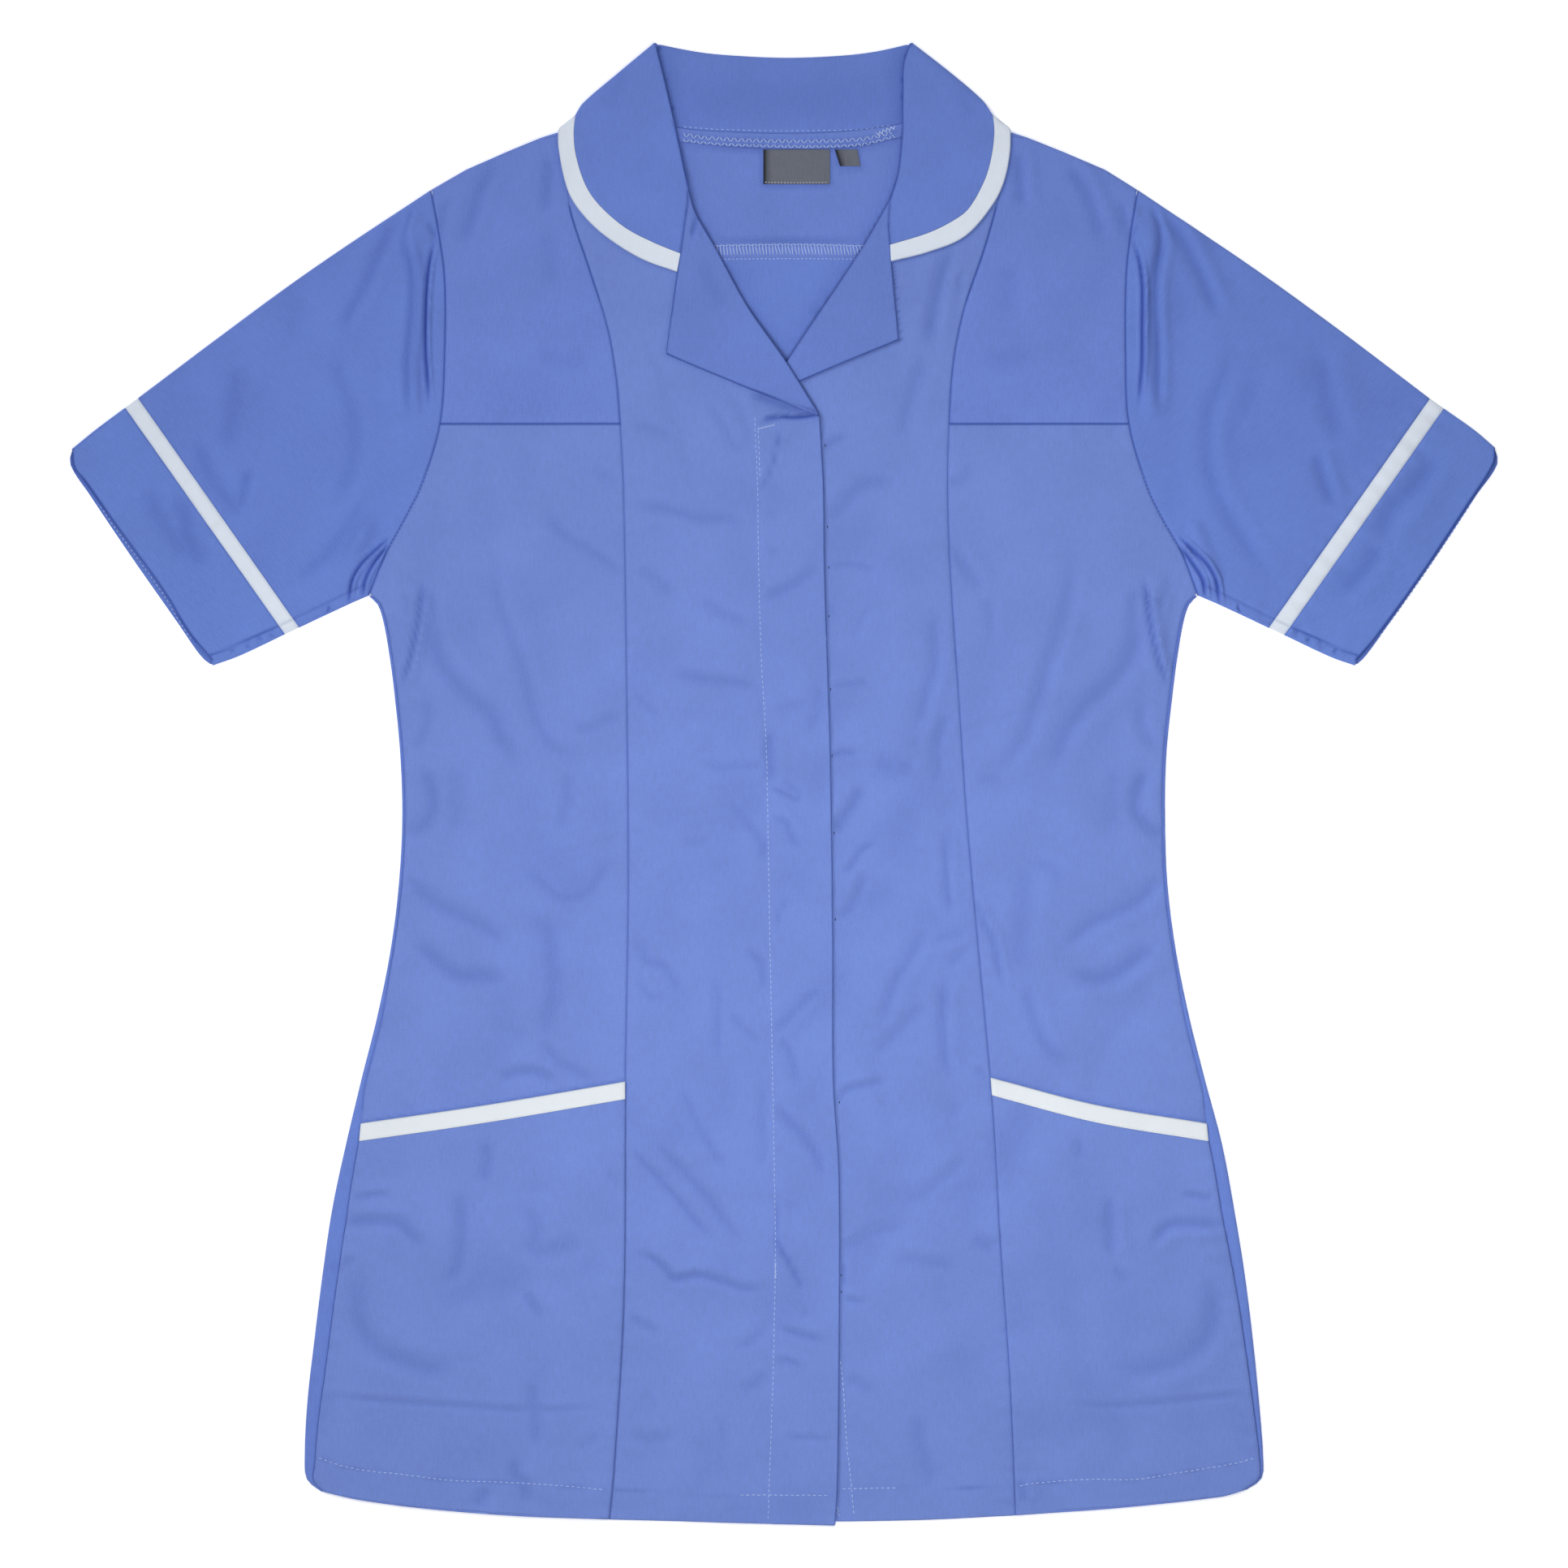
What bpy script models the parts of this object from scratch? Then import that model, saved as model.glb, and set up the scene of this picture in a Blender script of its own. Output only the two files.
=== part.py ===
"""A short-sleeved work tunic with a wide turned-down collar, laid flat with its front up.

The garment lies on the XY plane: +X is to the right of the front as one looks down on it, +Y is towards
the neck and +Z is up, out of the front. Lengths are millimetres until a mesh is made, in metres.
A height is always that of the middle of the cloth's wall. Names end in _l at the viewer's left.
"""
import math

import bmesh
import bpy
from mathutils import Vector

# Driving sizes
WALL = 1.0                   # thickness of the cloth
HALF_WALL = 0.5 * WALL       # a fold's middle lies this far inside the outline
SEAM = 0.3                   # space between two pieces at a seam
LAYER = 1.4                  # from the middle of one layer to the middle of the layer lying on it
BACK = HALF_WALL             # the back lies on the table
FRONT = BACK + 1.5           # the front lies on the back
HALF_TURN = 0.5 * (FRONT - BACK)       # radius of a fold from the back to the front
LAPEL_TURN = 0.5 * LAYER     # radius of the lapels' folds
ROLL_TURN = 0.5 * LAYER      # radius of the collar's roll
ROLL_DEPTH = ROLL_TURN + HALF_WALL     # from the roll's outline to the top of the stand
FALL_TURN = HALF_TURN + LAYER          # radius of the collar's fold at the shoulder
FOLD_MIDDLE = BACK + FALL_TURN         # height of the middle of that fold
LIP = 0.35                   # how far a folded piece reaches back under itself
LAPEL_START = 0.35           # the lapel's fold starts this far down the first row of the break line
ARMPIT_GAP = 3 * SEAM        # space between the armhole and the top of the side fold
NECK_GAP = 0.8               # space along the shoulder between the front and the collar's fold
TO_MIDDLE = Vector((0.18, -0.16, 0.0))   # brings the middle of the laid garment to the origin
SCALE = 0.001
SAME_PLACE = 0.00001         # points closer than this, in metres, are one
CLOTH_ROUGHNESS = 0.85

# Where the collar's fall lifts the back, and how gently
COLLAR_FOOT_LEVEL = 328.5
COLLAR_FOOT_BOW = 24.2
COLLAR_HALF_WIDTH = 122.0
STAND_SPREAD = 40.0

# Where the left front climbs over the right one and over the foot of its lapel
UNDERLAP_TOP = (-16.0, 201.0)
UNDERLAP_EDGE = -18.0
UNDERLAP_SLANT = 0.63
LAPEL_CROSSING = (4.5, 223.0)
FRONT_CLIMB = 48.0
LAPEL_CLIMB = 40.0
LAPEL_REACH = 50.0

# Levels that the rows of the body's lines meet, and the steps from each level to the next
BACK_SEAM_LEVEL = 286.0
CHEST_SEAM_LEVEL = 195.0
ARMPIT_LEVEL = 102.0
UNDERARM_LEVEL = 96.5
HIP = {"side": -193.0, "panel": -171.0, "middle": -150.0}
HEM_TURN = {"side": -360.0, "panel": -381.0, "middle": -383.0}
ROW_STEPS = (4, 8, 4, 1, 13, 6, 4)
NECK_ROWS = ROW_STEPS[0]
CHEST_ROW = ROW_STEPS[0] + ROW_STEPS[1]
ARMPIT_ROW = CHEST_ROW + ROW_STEPS[2]
HIP_ROW = ARMPIT_ROW + ROW_STEPS[3] + ROW_STEPS[4]

# Columns and rows of the pieces
YOKE_COLUMNS = 6
SIDE_COLUMNS = 8
FRONT_COLUMNS = 7
LAPEL_COLUMNS = 9
BACK_COLUMNS = 10
FRONT_STATIONS = 3 * NECK_ROWS
BACK_STATIONS = 4
STAND_ROWS = 2
ROLL_STEPS = 4
FALL_ROWS = 5
TURNING_COLUMNS = 8
LABEL_COLUMNS = 3
LABEL_ROWS = 2
CUFF_ROWS = 3
SLEEVE_ROWS = (0.0, 0.045, 0.09, 0.135, 0.19, 0.27, 0.38, 0.52, 0.68, 0.84, 1.0)

POCKET_BAND = 9.2            # width of the band along a pocket's opening
POCKET_HEM_GAP = 0.2         # a pocket ends this far above the hem of its panel

# Places that tell a line which side of it is inward
NAPE = Vector((0.0, 380.0))
INSIDE_COLLAR = Vector((0.0, 330.0))
WAIST = Vector((0.0, 0.0))
TOWARDS_MIDDLE = {"l": Vector((1.0, 0.0)), "r": Vector((-1.0, 0.0))}

# Outlines on the laid garment, x and y in millimetres, from the neck towards the hem.
# Each side of the front was measured on its own, because the garment doesn't lie quite evenly.
SHAPE = {
    "l": {
        "neck_point": (-92.6, 365.0),
        "shoulder": ((-191.2, 321.9), (-172.3, 332.9), (-151.0, 342.2), (-131.0, 350.3), (-120.5, 353.6),
                     (-92.6, 365.0)),
        "panel_seam": ((-122.5, 352.2), (-118.1, 335.1), (-115.9, 311.7), (-105.8, 280.1), (-95.7, 247.9),
                       (-90.9, 220.7), (-88.7, 195.1), (-86.9, 161.3), (-85.1, 51.3), (-84.3, -58.7),
                       (-86.0, -165.7), (-86.9, -278.7), (-92.2, -369.8), (-94.8, -398.0)),
        "armhole": ((-191.2, 321.9), (-186.8, 297.7), (-183.8, 274.0), (-183.7, 234.3), (-186.3, 195.1),
                    (-196.0, 162.6), (-205.3, 143.7), (-216.3, 123.4), (-225.0, 102.0)),
        "side": ((-225.0, 102.0), (-220.4, 97.5), (-217.2, 88.0), (-213.8, 68.9), (-211.5, 51.3),
                 (-208.1, 16.1), (-207.0, -19.1), (-208.8, -54.3), (-213.2, -89.5), (-220.2, -124.7),
                 (-229.0, -159.9), (-237.4, -195.1), (-244.9, -230.3), (-250.1, -265.5), (-254.5, -300.7),
                 (-258.5, -335.9), (-259.8, -366.0), (-258.6, -376.5), (-251.0, -383.0)),
        "hem": ((-251.0, -383.0), (-229.5, -387.4), (-192.5, -392.3), (-142.8, -396.2), (-94.8, -398.4)),
        "hem_middle": ((-94.8, -398.4), (-28.8, -399.7), (27.5, -401.1)),
        "opening": ((19.1, 200.2), (20.0, 184.1), (21.3, 159.5), (21.8, 119.0), (23.1, 72.8), (24.9, 15.6),
                    (26.2, -80.7), (26.6, -159.9), (29.7, -212.7), (29.7, -306.0), (28.8, -376.9),
                    (27.5, -401.1)),
        "neckline": ((-92.6, 365.0), (-84.0, 350.0), (-71.0, 336.0), (-55.6, 325.2)),
        "roll": ((-69.3, 401.1), (-64.0, 379.9), (-58.3, 354.9), (-51.7, 323.2)),
        "break_line": ((-51.7, 323.2), (-47.7, 309.5), (-37.2, 291.1), (-19.1, 258.1), (1.1, 229.0),
                       (19.1, 200.2)),
        "lapel_side": ((-52.8, 310.5), (-56.1, 287.1), (-57.6, 277.4), (-63.6, 233.0)),
        "lapel_foot": ((-63.6, 233.0), (-19.1, 214.1), (19.1, 200.2)),
        "gorge": ((-51.7, 323.2), (-52.1, 315.3), (-56.1, 287.1)),
        "shoulder_roll": ((-69.3, 401.1), (-90.4, 384.8), (-108.9, 368.9), (-112.8, 362.8)),
        "edging_inside": ((-112.8, 362.8), (-113.7, 352.2), (-112.4, 339.5), (-107.1, 323.6), (-99.7, 313.1),
                          (-86.0, 301.2), (-71.1, 293.3), (-56.1, 287.1)),
        "edging_outside": ((-121.9, 355.3), (-121.7, 343.9), (-116.8, 321.4), (-109.3, 309.1), (-96.6, 296.8),
                           (-77.2, 284.5), (-57.9, 277.4)),
        "overarm": ((-191.2, 321.9), (-254.1, 280.1), (-302.5, 244.9), (-350.0, 209.2)),
        "underarm": ((-225.0, 102.0), (-234.3, 97.9), (-262.5, 84.6)),
        "band_top": ((-350.0, 209.2), (-262.5, 84.6)),
        "band_foot": ((-357.0, 204.0), (-270.2, 81.0)),
        "cuff_over": ((-357.0, 204.0), (-372.9, 192.1), (-385.4, 181.8)),
        "cuff_under": ((-270.2, 81.0), (-295.0, 69.3), (-309.7, 64.0)),
        "cuff_back": ((-385.4, 181.8), (-386.9, 173.5), (-376.4, 156.9), (-352.7, 121.7), (-328.0, 86.5),
                      (-315.7, 68.9), (-309.7, 64.0)),
        "cuff_front": ((-385.4, 181.8), (-384.0, 171.2), (-378.2, 163.9), (-360.6, 138.8), (-335.5, 104.1),
                       (-322.0, 82.1), (-309.1, 66.5)),
        "pocket_top": ((-229.9, -184.1), (-160.8, -174.0), (-86.0, -161.3)),
    },
    "r": {
        "neck_point": (94.4, 365.0),
        "shoulder": ((191.6, 321.9), (174.0, 332.9), (152.0, 342.2), (131.5, 350.3), (121.0, 353.6),
                     (94.4, 365.0)),
        "panel_seam": ((122.5, 352.7), (116.8, 320.5), (108.9, 291.1), (97.5, 257.2), (91.7, 227.7),
                       (89.5, 195.6), (88.7, 161.3), (90.0, 117.3), (94.4, 51.3), (98.8, -14.7),
                       (104.5, -80.7), (110.7, -146.7), (114.2, -190.7), (117.3, -247.9), (122.5, -322.7),
                       (125.6, -395.8)),
        "armhole": ((191.6, 321.9), (187.7, 297.7), (185.3, 274.0), (185.0, 231.7), (186.8, 195.1),
                    (196.5, 161.3), (204.8, 143.7), (215.4, 125.0), (224.2, 102.0)),
        "side": ((224.2, 102.0), (219.8, 97.5), (216.6, 88.0), (213.3, 68.9), (211.0, 51.3),
                 (207.3, 16.1), (206.6, -19.1), (207.9, -54.3), (212.3, -89.5), (219.3, -124.7),
                 (228.1, -159.9), (237.4, -195.1), (244.0, -230.3), (249.7, -265.5), (254.1, -300.7),
                 (257.6, -335.9), (259.8, -366.0), (258.9, -376.0), (251.0, -382.0)),
        "hem": ((251.0, -382.0), (236.1, -385.7), (181.1, -391.8), (125.6, -395.8)),
        "hem_middle": ((125.6, -395.8), (71.1, -398.4), (-12.0, -399.5)),
        "opening": ((-16.0, 200.9), (-15.5, 160.0), (-13.0, 15.0), (-9.0, -215.0), (-12.0, -399.5)),
        "neckline": ((94.4, 365.0), (89.0, 347.0), (77.0, 330.0), (60.6, 318.2)),
        "roll": ((68.4, 401.1), (64.5, 390.1), (64.0, 376.9), (63.6, 352.7), (61.4, 330.7), (57.0, 316.1)),
        "break_line": ((57.0, 316.1), (39.8, 286.7), (1.1, 228.6), (-16.0, 200.9)),
        "lapel_side": ((56.5, 302.1), (57.4, 291.9), (57.9, 283.1), (61.8, 240.5)),
        "lapel_foot": ((61.8, 240.5), (32.8, 228.6), (8.1, 218.0), (-16.0, 200.9)),
        "gorge": ((57.0, 314.9), (56.5, 302.1), (57.4, 291.9)),
        "shoulder_roll": ((68.4, 401.1), (90.9, 384.8), (107.6, 370.3), (112.9, 362.8)),
        "edging_inside": ((112.9, 362.8), (113.7, 352.2), (112.0, 338.6), (108.5, 326.7), (100.1, 311.7),
                          (92.6, 305.6), (78.5, 298.5), (57.4, 291.9)),
        "edging_outside": ((122.3, 355.3), (122.1, 342.5), (119.0, 326.7), (112.9, 313.9), (97.9, 296.8),
                           (78.5, 288.4), (57.9, 283.1)),
        "overarm": ((191.6, 321.9), (253.7, 280.1), (302.5, 244.9), (350.0, 208.9)),
        "underarm": ((224.2, 102.0), (234.7, 97.5), (262.5, 84.4)),
        "band_top": ((350.0, 208.9), (262.5, 84.4)),
        "band_foot": ((357.6, 203.6), (270.9, 80.5)),
        "cuff_over": ((357.6, 203.6), (373.8, 192.1), (385.0, 182.4)),
        "cuff_under": ((270.9, 80.5), (296.8, 68.4), (309.5, 64.0)),
        "cuff_back": ((385.0, 182.4), (386.6, 173.5), (375.5, 156.9), (352.2, 121.7), (327.6, 86.5),
                      (314.8, 68.9), (309.5, 64.0)),
        "cuff_front": ((385.0, 182.4), (384.0, 173.5), (370.3, 151.6), (343.4, 111.1), (320.0, 79.0),
                       (309.0, 66.5)),
        "pocket_top": ((229.5, -184.1), (169.2, -174.0), (111.5, -159.1)),
    },
}

# Lines that cross the middle of the back
BACK_ROLL = ((-69.3, 401.1), (-46.4, 396.7), (-28.8, 394.9), (2.0, 393.6), (32.8, 394.9), (50.4, 397.1),
             (68.4, 401.1))
BACK_NECK_SEAM = ((-92.6, 365.0), (-57.0, 355.3), (-28.8, 353.0), (2.0, 352.2), (32.8, 353.3),
                  (63.6, 357.4), (94.4, 365.0))
NECK_TURNING_FOOT = ((-57.0, 347.8), (-28.8, 345.4), (2.0, 344.1), (32.8, 345.0), (63.6, 350.0))
HIDDEN_EDGING_INSIDE = ((-112.8, 362.8), (-60.0, 346.0), (2.0, 339.0), (60.0, 346.0), (112.9, 362.8))
HIDDEN_EDGING_OUTSIDE = ((-121.9, 355.3), (-60.0, 335.0), (2.0, 328.5), (60.0, 335.0), (122.3, 355.3))

# How far the side seam lies inside the side fold, seen from the front: level, left and right
SIDE_SEAM_INSET = (
    (110.0, 1.8, 1.8),
    (-100.0, 1.8, 1.8),
    (-127.0, 3.2, 2.8),
    (-165.0, 3.0, 2.8),
    (-193.0, 7.0, 7.3),
    (-235.0, 9.2, 7.7),
    (-323.0, 8.4, 4.5),
    (-370.0, 6.0, 2.4),
    (-384.0, 1.8, 1.8),
)

# What lies on the inside of the back neck
NECK_TURNING_ENDS = (-55.8, 61.4)
MAIN_LABEL = ((-11.2, 343.6), (24.9, 343.6), (24.9, 324.9), (-11.2, 324.9))
SIZE_LABEL = ((27.5, 343.6), (40.7, 343.6), (40.7, 334.6), (30.1, 334.6))

# The largest folds of the front layer: from x, y to x, y, height of the ridge and half its width
FOLDS = (
    ("sleeve head left", -199.0, 300.0, -205.0, 205.0, 2.6, 12.0),
    ("sleeve head right", 199.0, 300.0, 205.0, 205.0, 2.6, 12.0),
    ("armpit sleeve left", -227.0, 138.0, -238.0, 112.0, 2.2, 9.0),
    ("armpit sleeve right", 226.0, 138.0, 238.0, 112.0, 2.2, 9.0),
    ("armpit body left", -206.0, 108.0, -204.0, 60.0, 1.6, 11.0),
    ("armpit body right", 204.0, 108.0, 202.0, 60.0, 1.6, 11.0),
    ("chest left", -165.0, 60.0, -100.0, 30.0, 1.0, 22.0),
    ("waist left", -196.0, -40.0, -110.0, -75.0, 1.2, 22.0),
    ("waist right", 196.0, -32.0, 130.0, -62.0, 1.2, 22.0),
    ("hip left", -60.0, 40.0, -40.0, -70.0, 1.0, 20.0),
    ("front foot left", -70.0, -255.0, -25.0, -275.0, 1.0, 20.0),
    ("front right", 60.0, 120.0, 66.0, 20.0, 1.0, 20.0),
    ("hip right", 70.0, -150.0, 85.0, -250.0, 1.0, 20.0),
)

# Cloth colours, linear red, green and blue
BLUE = (0.168, 0.254, 0.651)
WHITE = (0.693, 0.745, 0.812)
GREY = (0.141, 0.156, 0.202)


def flat(point):
    """A point of the table of outlines as a vector in the plane."""
    return Vector(point).to_2d()


def ease(share):
    """A smooth step from 0 to 1."""
    share = min(max(share, 0.0), 1.0)
    return share * share * (3.0 - 2.0 * share)


class Run:
    """A line through a few measured points, smooth unless it is straight, read by its share of length."""

    def __init__(self, points, smooth=True):
        knots = [flat(point) for point in points]
        self.dots = self.rounded(knots) if smooth and len(knots) > 2 else knots
        self.reach = [0.0]
        for first, second in zip(self.dots, self.dots[1:]):
            self.reach.append(self.reach[-1] + (second - first).length)

    @staticmethod
    def rounded(knots, pieces=12):
        """The knots joined by cubic spans whose ends point along their neighbours."""
        slopes = []
        for index, knot in enumerate(knots):
            before = knots[max(index - 1, 0)]
            after = knots[min(index + 1, len(knots) - 1)]
            slopes.append((after - before).normalized())
        dots = [knots[0]]
        for index in range(len(knots) - 1):
            start, end = knots[index], knots[index + 1]
            pull = (end - start).length
            for step in range(1, pieces + 1):
                t = step / pieces
                dots.append(
                    start * (2 * t**3 - 3 * t**2 + 1) + slopes[index] * pull * (t**3 - 2 * t**2 + t)
                    + end * (3 * t**2 - 2 * t**3) + slopes[index + 1] * pull * (t**3 - t**2)
                )
        return dots

    def at(self, share):
        """The point at a share of the length."""
        goal = min(max(share, 0.0), 1.0) * self.reach[-1]
        for index in range(1, len(self.dots)):
            if goal <= self.reach[index]:
                span = self.reach[index] - self.reach[index - 1]
                return self.dots[index - 1].lerp(self.dots[index], (goal - self.reach[index - 1]) / span)
        return self.dots[-1].copy()

    def share(self, place, axis=1):
        """The share of the length at which x (axis 0) or y (axis 1) first comes to a place."""
        for index in range(1, len(self.dots)):
            before, after = self.dots[index - 1][axis] - place, self.dots[index][axis] - place
            if before * after <= 0.0 and before != after:
                part = before / (before - after)
                span = self.reach[index] - self.reach[index - 1]
                return (self.reach[index - 1] + part * span) / self.reach[-1]
        near_start = abs(self.dots[0][axis] - place) < abs(self.dots[-1][axis] - place)
        return 0.0 if near_start else 1.0

    def spread(self, count, start=0.0, end=1.0):
        """Points spaced evenly from one share to another."""
        return [self.at(start + (end - start) * index / count) for index in range(count + 1)]

    def rows(self, legs):
        """Points at evenly spaced levels: each leg is the level it ends on and its number of steps."""
        level = self.dots[0].y
        points = [self.dots[0].copy()]
        for goal, steps in legs:
            goal = self.dots[-1].y if goal is None else goal
            for step in range(1, steps + 1):
                points.append(self.at(self.share(level + (goal - level) * step / steps)))
            level = goal
        return points


def shares(points):
    """How far along a list each of its points lies, from 0 to 1."""
    reach = [0.0]
    for first, second in zip(points, points[1:]):
        reach.append(reach[-1] + (second - first).length)
    return [distance / reach[-1] for distance in reach]


def fill(top, foot, left, right):
    """Rows of points that fill the space inside four lists of edge points."""
    across = [0.5 * (a + b) for a, b in zip(shares(top), shares(foot))]
    down = [0.5 * (a + b) for a, b in zip(shares(left), shares(right))]
    rows = []
    for v, start, end in zip(down, left, right):
        row = []
        for u, head, heel in zip(across, top, foot):
            corners = (top[0] * (1 - u) + top[-1] * u) * (1 - v) + (foot[0] * (1 - u) + foot[-1] * u) * v
            row.append(head * (1 - v) + heel * v + start * (1 - u) + end * u - corners)
        rows.append(row)
    return rows


def pulled(point, inner, gap):
    """A point moved towards its inner neighbour."""
    return point + (inner - point).normalized() * gap


def trimmed(rows, left=0.0, right=0.0, top=0.0, foot=0.0):
    """The rows with their outer points pulled in, to leave half a seam's space."""
    rows = [list(row) for row in rows]
    for row in rows:
        row[0], row[-1] = pulled(row[0], row[1], left), pulled(row[-1], row[-2], right)
    rows[0] = [pulled(point, inner, top) for point, inner in zip(rows[0], rows[1])]
    rows[-1] = [pulled(point, inner, foot) for point, inner in zip(rows[-1], rows[-2])]
    return rows


def collar_rise(x, y):
    """How far the back is lifted by the collar's fall under it, from 0 to 1."""
    fall_edge = COLLAR_FOOT_LEVEL + COLLAR_FOOT_BOW * (x / COLLAR_HALF_WIDTH) ** 2
    return ease((y - fall_edge + STAND_SPREAD) / STAND_SPREAD)


def distance_to(x, y, start, end):
    """Distance in the plane from a place to a straight stretch."""
    along = end - start
    offset = Vector((x, y)) - start
    part = min(max(offset.dot(along) / along.length_squared, 0.0), 1.0)
    return (offset - along * part).length


def fold_height(x, y):
    """Height of the soft folds over the flat front at a place."""
    total = 0.0
    for _, x0, y0, x1, y1, height, width in FOLDS:
        clear = distance_to(x, y, Vector((x0, y0)), Vector((x1, y1)))
        total += height * ease(1.0 - clear / width)
    return total


def table_height(x, y):
    """The lower back, which lies on the table."""
    return BACK


def back_height(x, y):
    """The upper back, which the collar's fall lifts."""
    return BACK + LAYER * collar_rise(x, y)


def side_height(x, y):
    """The strip of the lower back that is turned to the front at the sides."""
    return FRONT


def front_height(x, y):
    """The right front, the shoulder panels, the side fronts and the sleeves."""
    return FRONT + LAYER * collar_rise(x, y) + fold_height(x, y)


def left_front_height(x, y):
    """The left front, which climbs over the right front and over the hidden foot of its lapel."""
    edge = UNDERLAP_EDGE + UNDERLAP_SLANT * max(y - UNDERLAP_TOP[1], 0.0)
    over_front = ease((x - edge + FRONT_CLIMB) / FRONT_CLIMB)
    clear = distance_to(x, y, Vector(UNDERLAP_TOP), Vector(LAPEL_CROSSING))
    over_lapel = ease((LAPEL_REACH - clear) / LAPEL_CLIMB)
    return front_height(x, y) + LAYER * (over_front + over_lapel)


def lifted(rows, height, layers=0):
    """Rows of plane points set at a height, and so many layers above it."""
    return [[solid(point, height(point.x, point.y) + layers * LAYER) for point in row] for row in rows]


def solid(point, z):
    """A point of the plane set at a height."""
    return Vector((point.x, point.y, z))


def cloth(name, patches, colour, closed=False):
    """A named piece of cloth: patches of points joined to one sheet and given the wall's thickness."""
    mesh = bpy.data.meshes.new(name)
    bm = bmesh.new()
    for rows in patches:
        grid = [[bm.verts.new((point + TO_MIDDLE) * SCALE) for point in row] for row in rows]
        for upper, lower in zip(grid, grid[1:]):
            sides = range(len(upper) if closed else len(upper) - 1)
            for side in sides:
                after = (side + 1) % len(upper)
                bm.faces.new((upper[side], lower[side], lower[after], upper[after]))
    bmesh.ops.remove_doubles(bm, verts=bm.verts, dist=SAME_PLACE)
    bmesh.ops.recalc_face_normals(bm, faces=bm.faces)
    bm.to_mesh(mesh)
    bm.free()
    mesh.shade_smooth()
    piece = bpy.data.objects.new(name, mesh)
    garment.objects.link(piece)
    wall = piece.modifiers.new("Wall", "SOLIDIFY")
    wall.thickness = WALL * SCALE
    wall.offset = 0.0
    finish = bpy.data.materials.new(name + "_cloth")
    finish.use_nodes = True
    shader = finish.node_tree.nodes["Principled BSDF"]
    shader.inputs["Base Color"].default_value = (*colour, 1.0)
    shader.inputs["Roughness"].default_value = CLOTH_ROUGHNESS
    shader.inputs["Metallic"].default_value = 0.0
    mesh.materials.append(finish)
    return piece


def body_legs(*levels):
    """The legs of a body line: the level that each of the last row steps ends on."""
    return list(zip(levels, ROW_STEPS[-len(levels):]))


def turn_angles(steps=6):
    """Angles from the underside of a fold, round it, to its top."""
    return [math.radians(-90.0 + 180.0 * step / steps) for step in range(steps + 1)]


def inward(points, towards):
    """At each point of a line, the unit direction square to the line on the side of a given point."""
    directions = []
    for index, point in enumerate(points):
        along = points[min(index + 1, len(points) - 1)] - points[max(index - 1, 0)]
        square = Vector((-along.y, along.x)).normalized()
        directions.append(square if square.dot(towards - point) > 0.0 else -square)
    return directions


def across(start, end, count):
    """Points on the straight line between two points."""
    return [start.lerp(end, index / count) for index in range(count + 1)]


def seam_from(fold, hand):
    """The side seam on the front: the side fold moved in by the table's insets."""
    column = 1 if hand == "l" else 2
    inset = Run([(row[0], row[column]) for row in SIDE_SEAM_INSET], smooth=False)
    moved = []
    for point in fold:
        distance = inset.at(inset.share(point.y, axis=0)).y
        moved.append(point + TOWARDS_MIDDLE[hand] * distance)
    return moved


def shoulder_part(hand, start, end, count):
    """Points of the front's shoulder edge between two places of x, moved in from the fold."""
    run = Run(SHAPE[hand]["shoulder"], smooth=False)
    points = run.spread(count, run.share(start, axis=0), run.share(end, axis=0))
    inset = HALF_WALL + HALF_TURN + LIP + SEAM
    return [point + side * inset for point, side in zip(points, inward(points, WAIST))]


# Front panels

def shoulder_panel(hand):
    """The panel between the shoulder, the armhole, the curved seam and the chest seam."""
    outer_end = SHAPE[hand]["shoulder"][0][0]
    top = shoulder_part(hand, outer_end, panel_seam[hand][0].x, YOKE_COLUMNS)
    left = list(armhole[hand][:CHEST_ROW + 1])
    right = list(panel_seam[hand][:CHEST_ROW + 1])
    left[0], right[0] = top[0], top[-1]
    rows = fill(top, across(left[-1], right[-1], YOKE_COLUMNS), left, right)
    rows = trimmed(rows, left=SEAM / 2, right=SEAM / 2, foot=SEAM / 2)
    cloth("yoke_front_" + hand, [lifted(rows, front_height)], BLUE)


def side_front(hand):
    """The panel from the chest seam to the hem, between the side seam and the curved seam."""
    left = armhole[hand][CHEST_ROW:-1] + side_seam[hand]
    right = panel_seam[hand][CHEST_ROW:]
    foot = Run([left[-1], *SHAPE[hand]["hem"][1:-1], right[-1]]).spread(SIDE_COLUMNS)
    rows = fill(across(left[0], right[0], SIDE_COLUMNS), foot, left, right)
    rows = trimmed(rows, left=SEAM / 2, right=SEAM / 2, top=SEAM / 2)
    cloth("side_front_" + hand, [lifted(rows, front_height)], BLUE)


def centre_front(hand, height):
    """The middle panel: its free side follows the neckline, the break line and the closing edge."""
    shape = SHAPE[hand]
    seam = list(panel_seam[hand])
    inset = HALF_WALL + LAPEL_TURN + LIP + SEAM
    fold = [point - side * inset for point, side in zip(break_line[hand], inward(break_line[hand], NAPE))]
    opening = Run(shape["opening"]).rows(body_legs(
        ARMPIT_LEVEL, UNDERARM_LEVEL, HIP["middle"], HEM_TURN["middle"], None))
    free = neckline[hand][:-1] + fold + opening[1:]
    neck_end = shape["neck_point"][0] - TOWARDS_MIDDLE[hand].x * NECK_GAP
    top = shoulder_part(hand, seam[0].x, neck_end, FRONT_COLUMNS)
    seam[0], free[0] = top[0], top[-1]
    foot = Run([seam[-1], *shape["hem_middle"][1:]]).spread(FRONT_COLUMNS)
    rows = trimmed(fill(top, foot, seam, free), left=SEAM / 2, right=SEAM / 2)
    cloth("front_" + hand, [lifted(rows, height)], BLUE)


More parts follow.
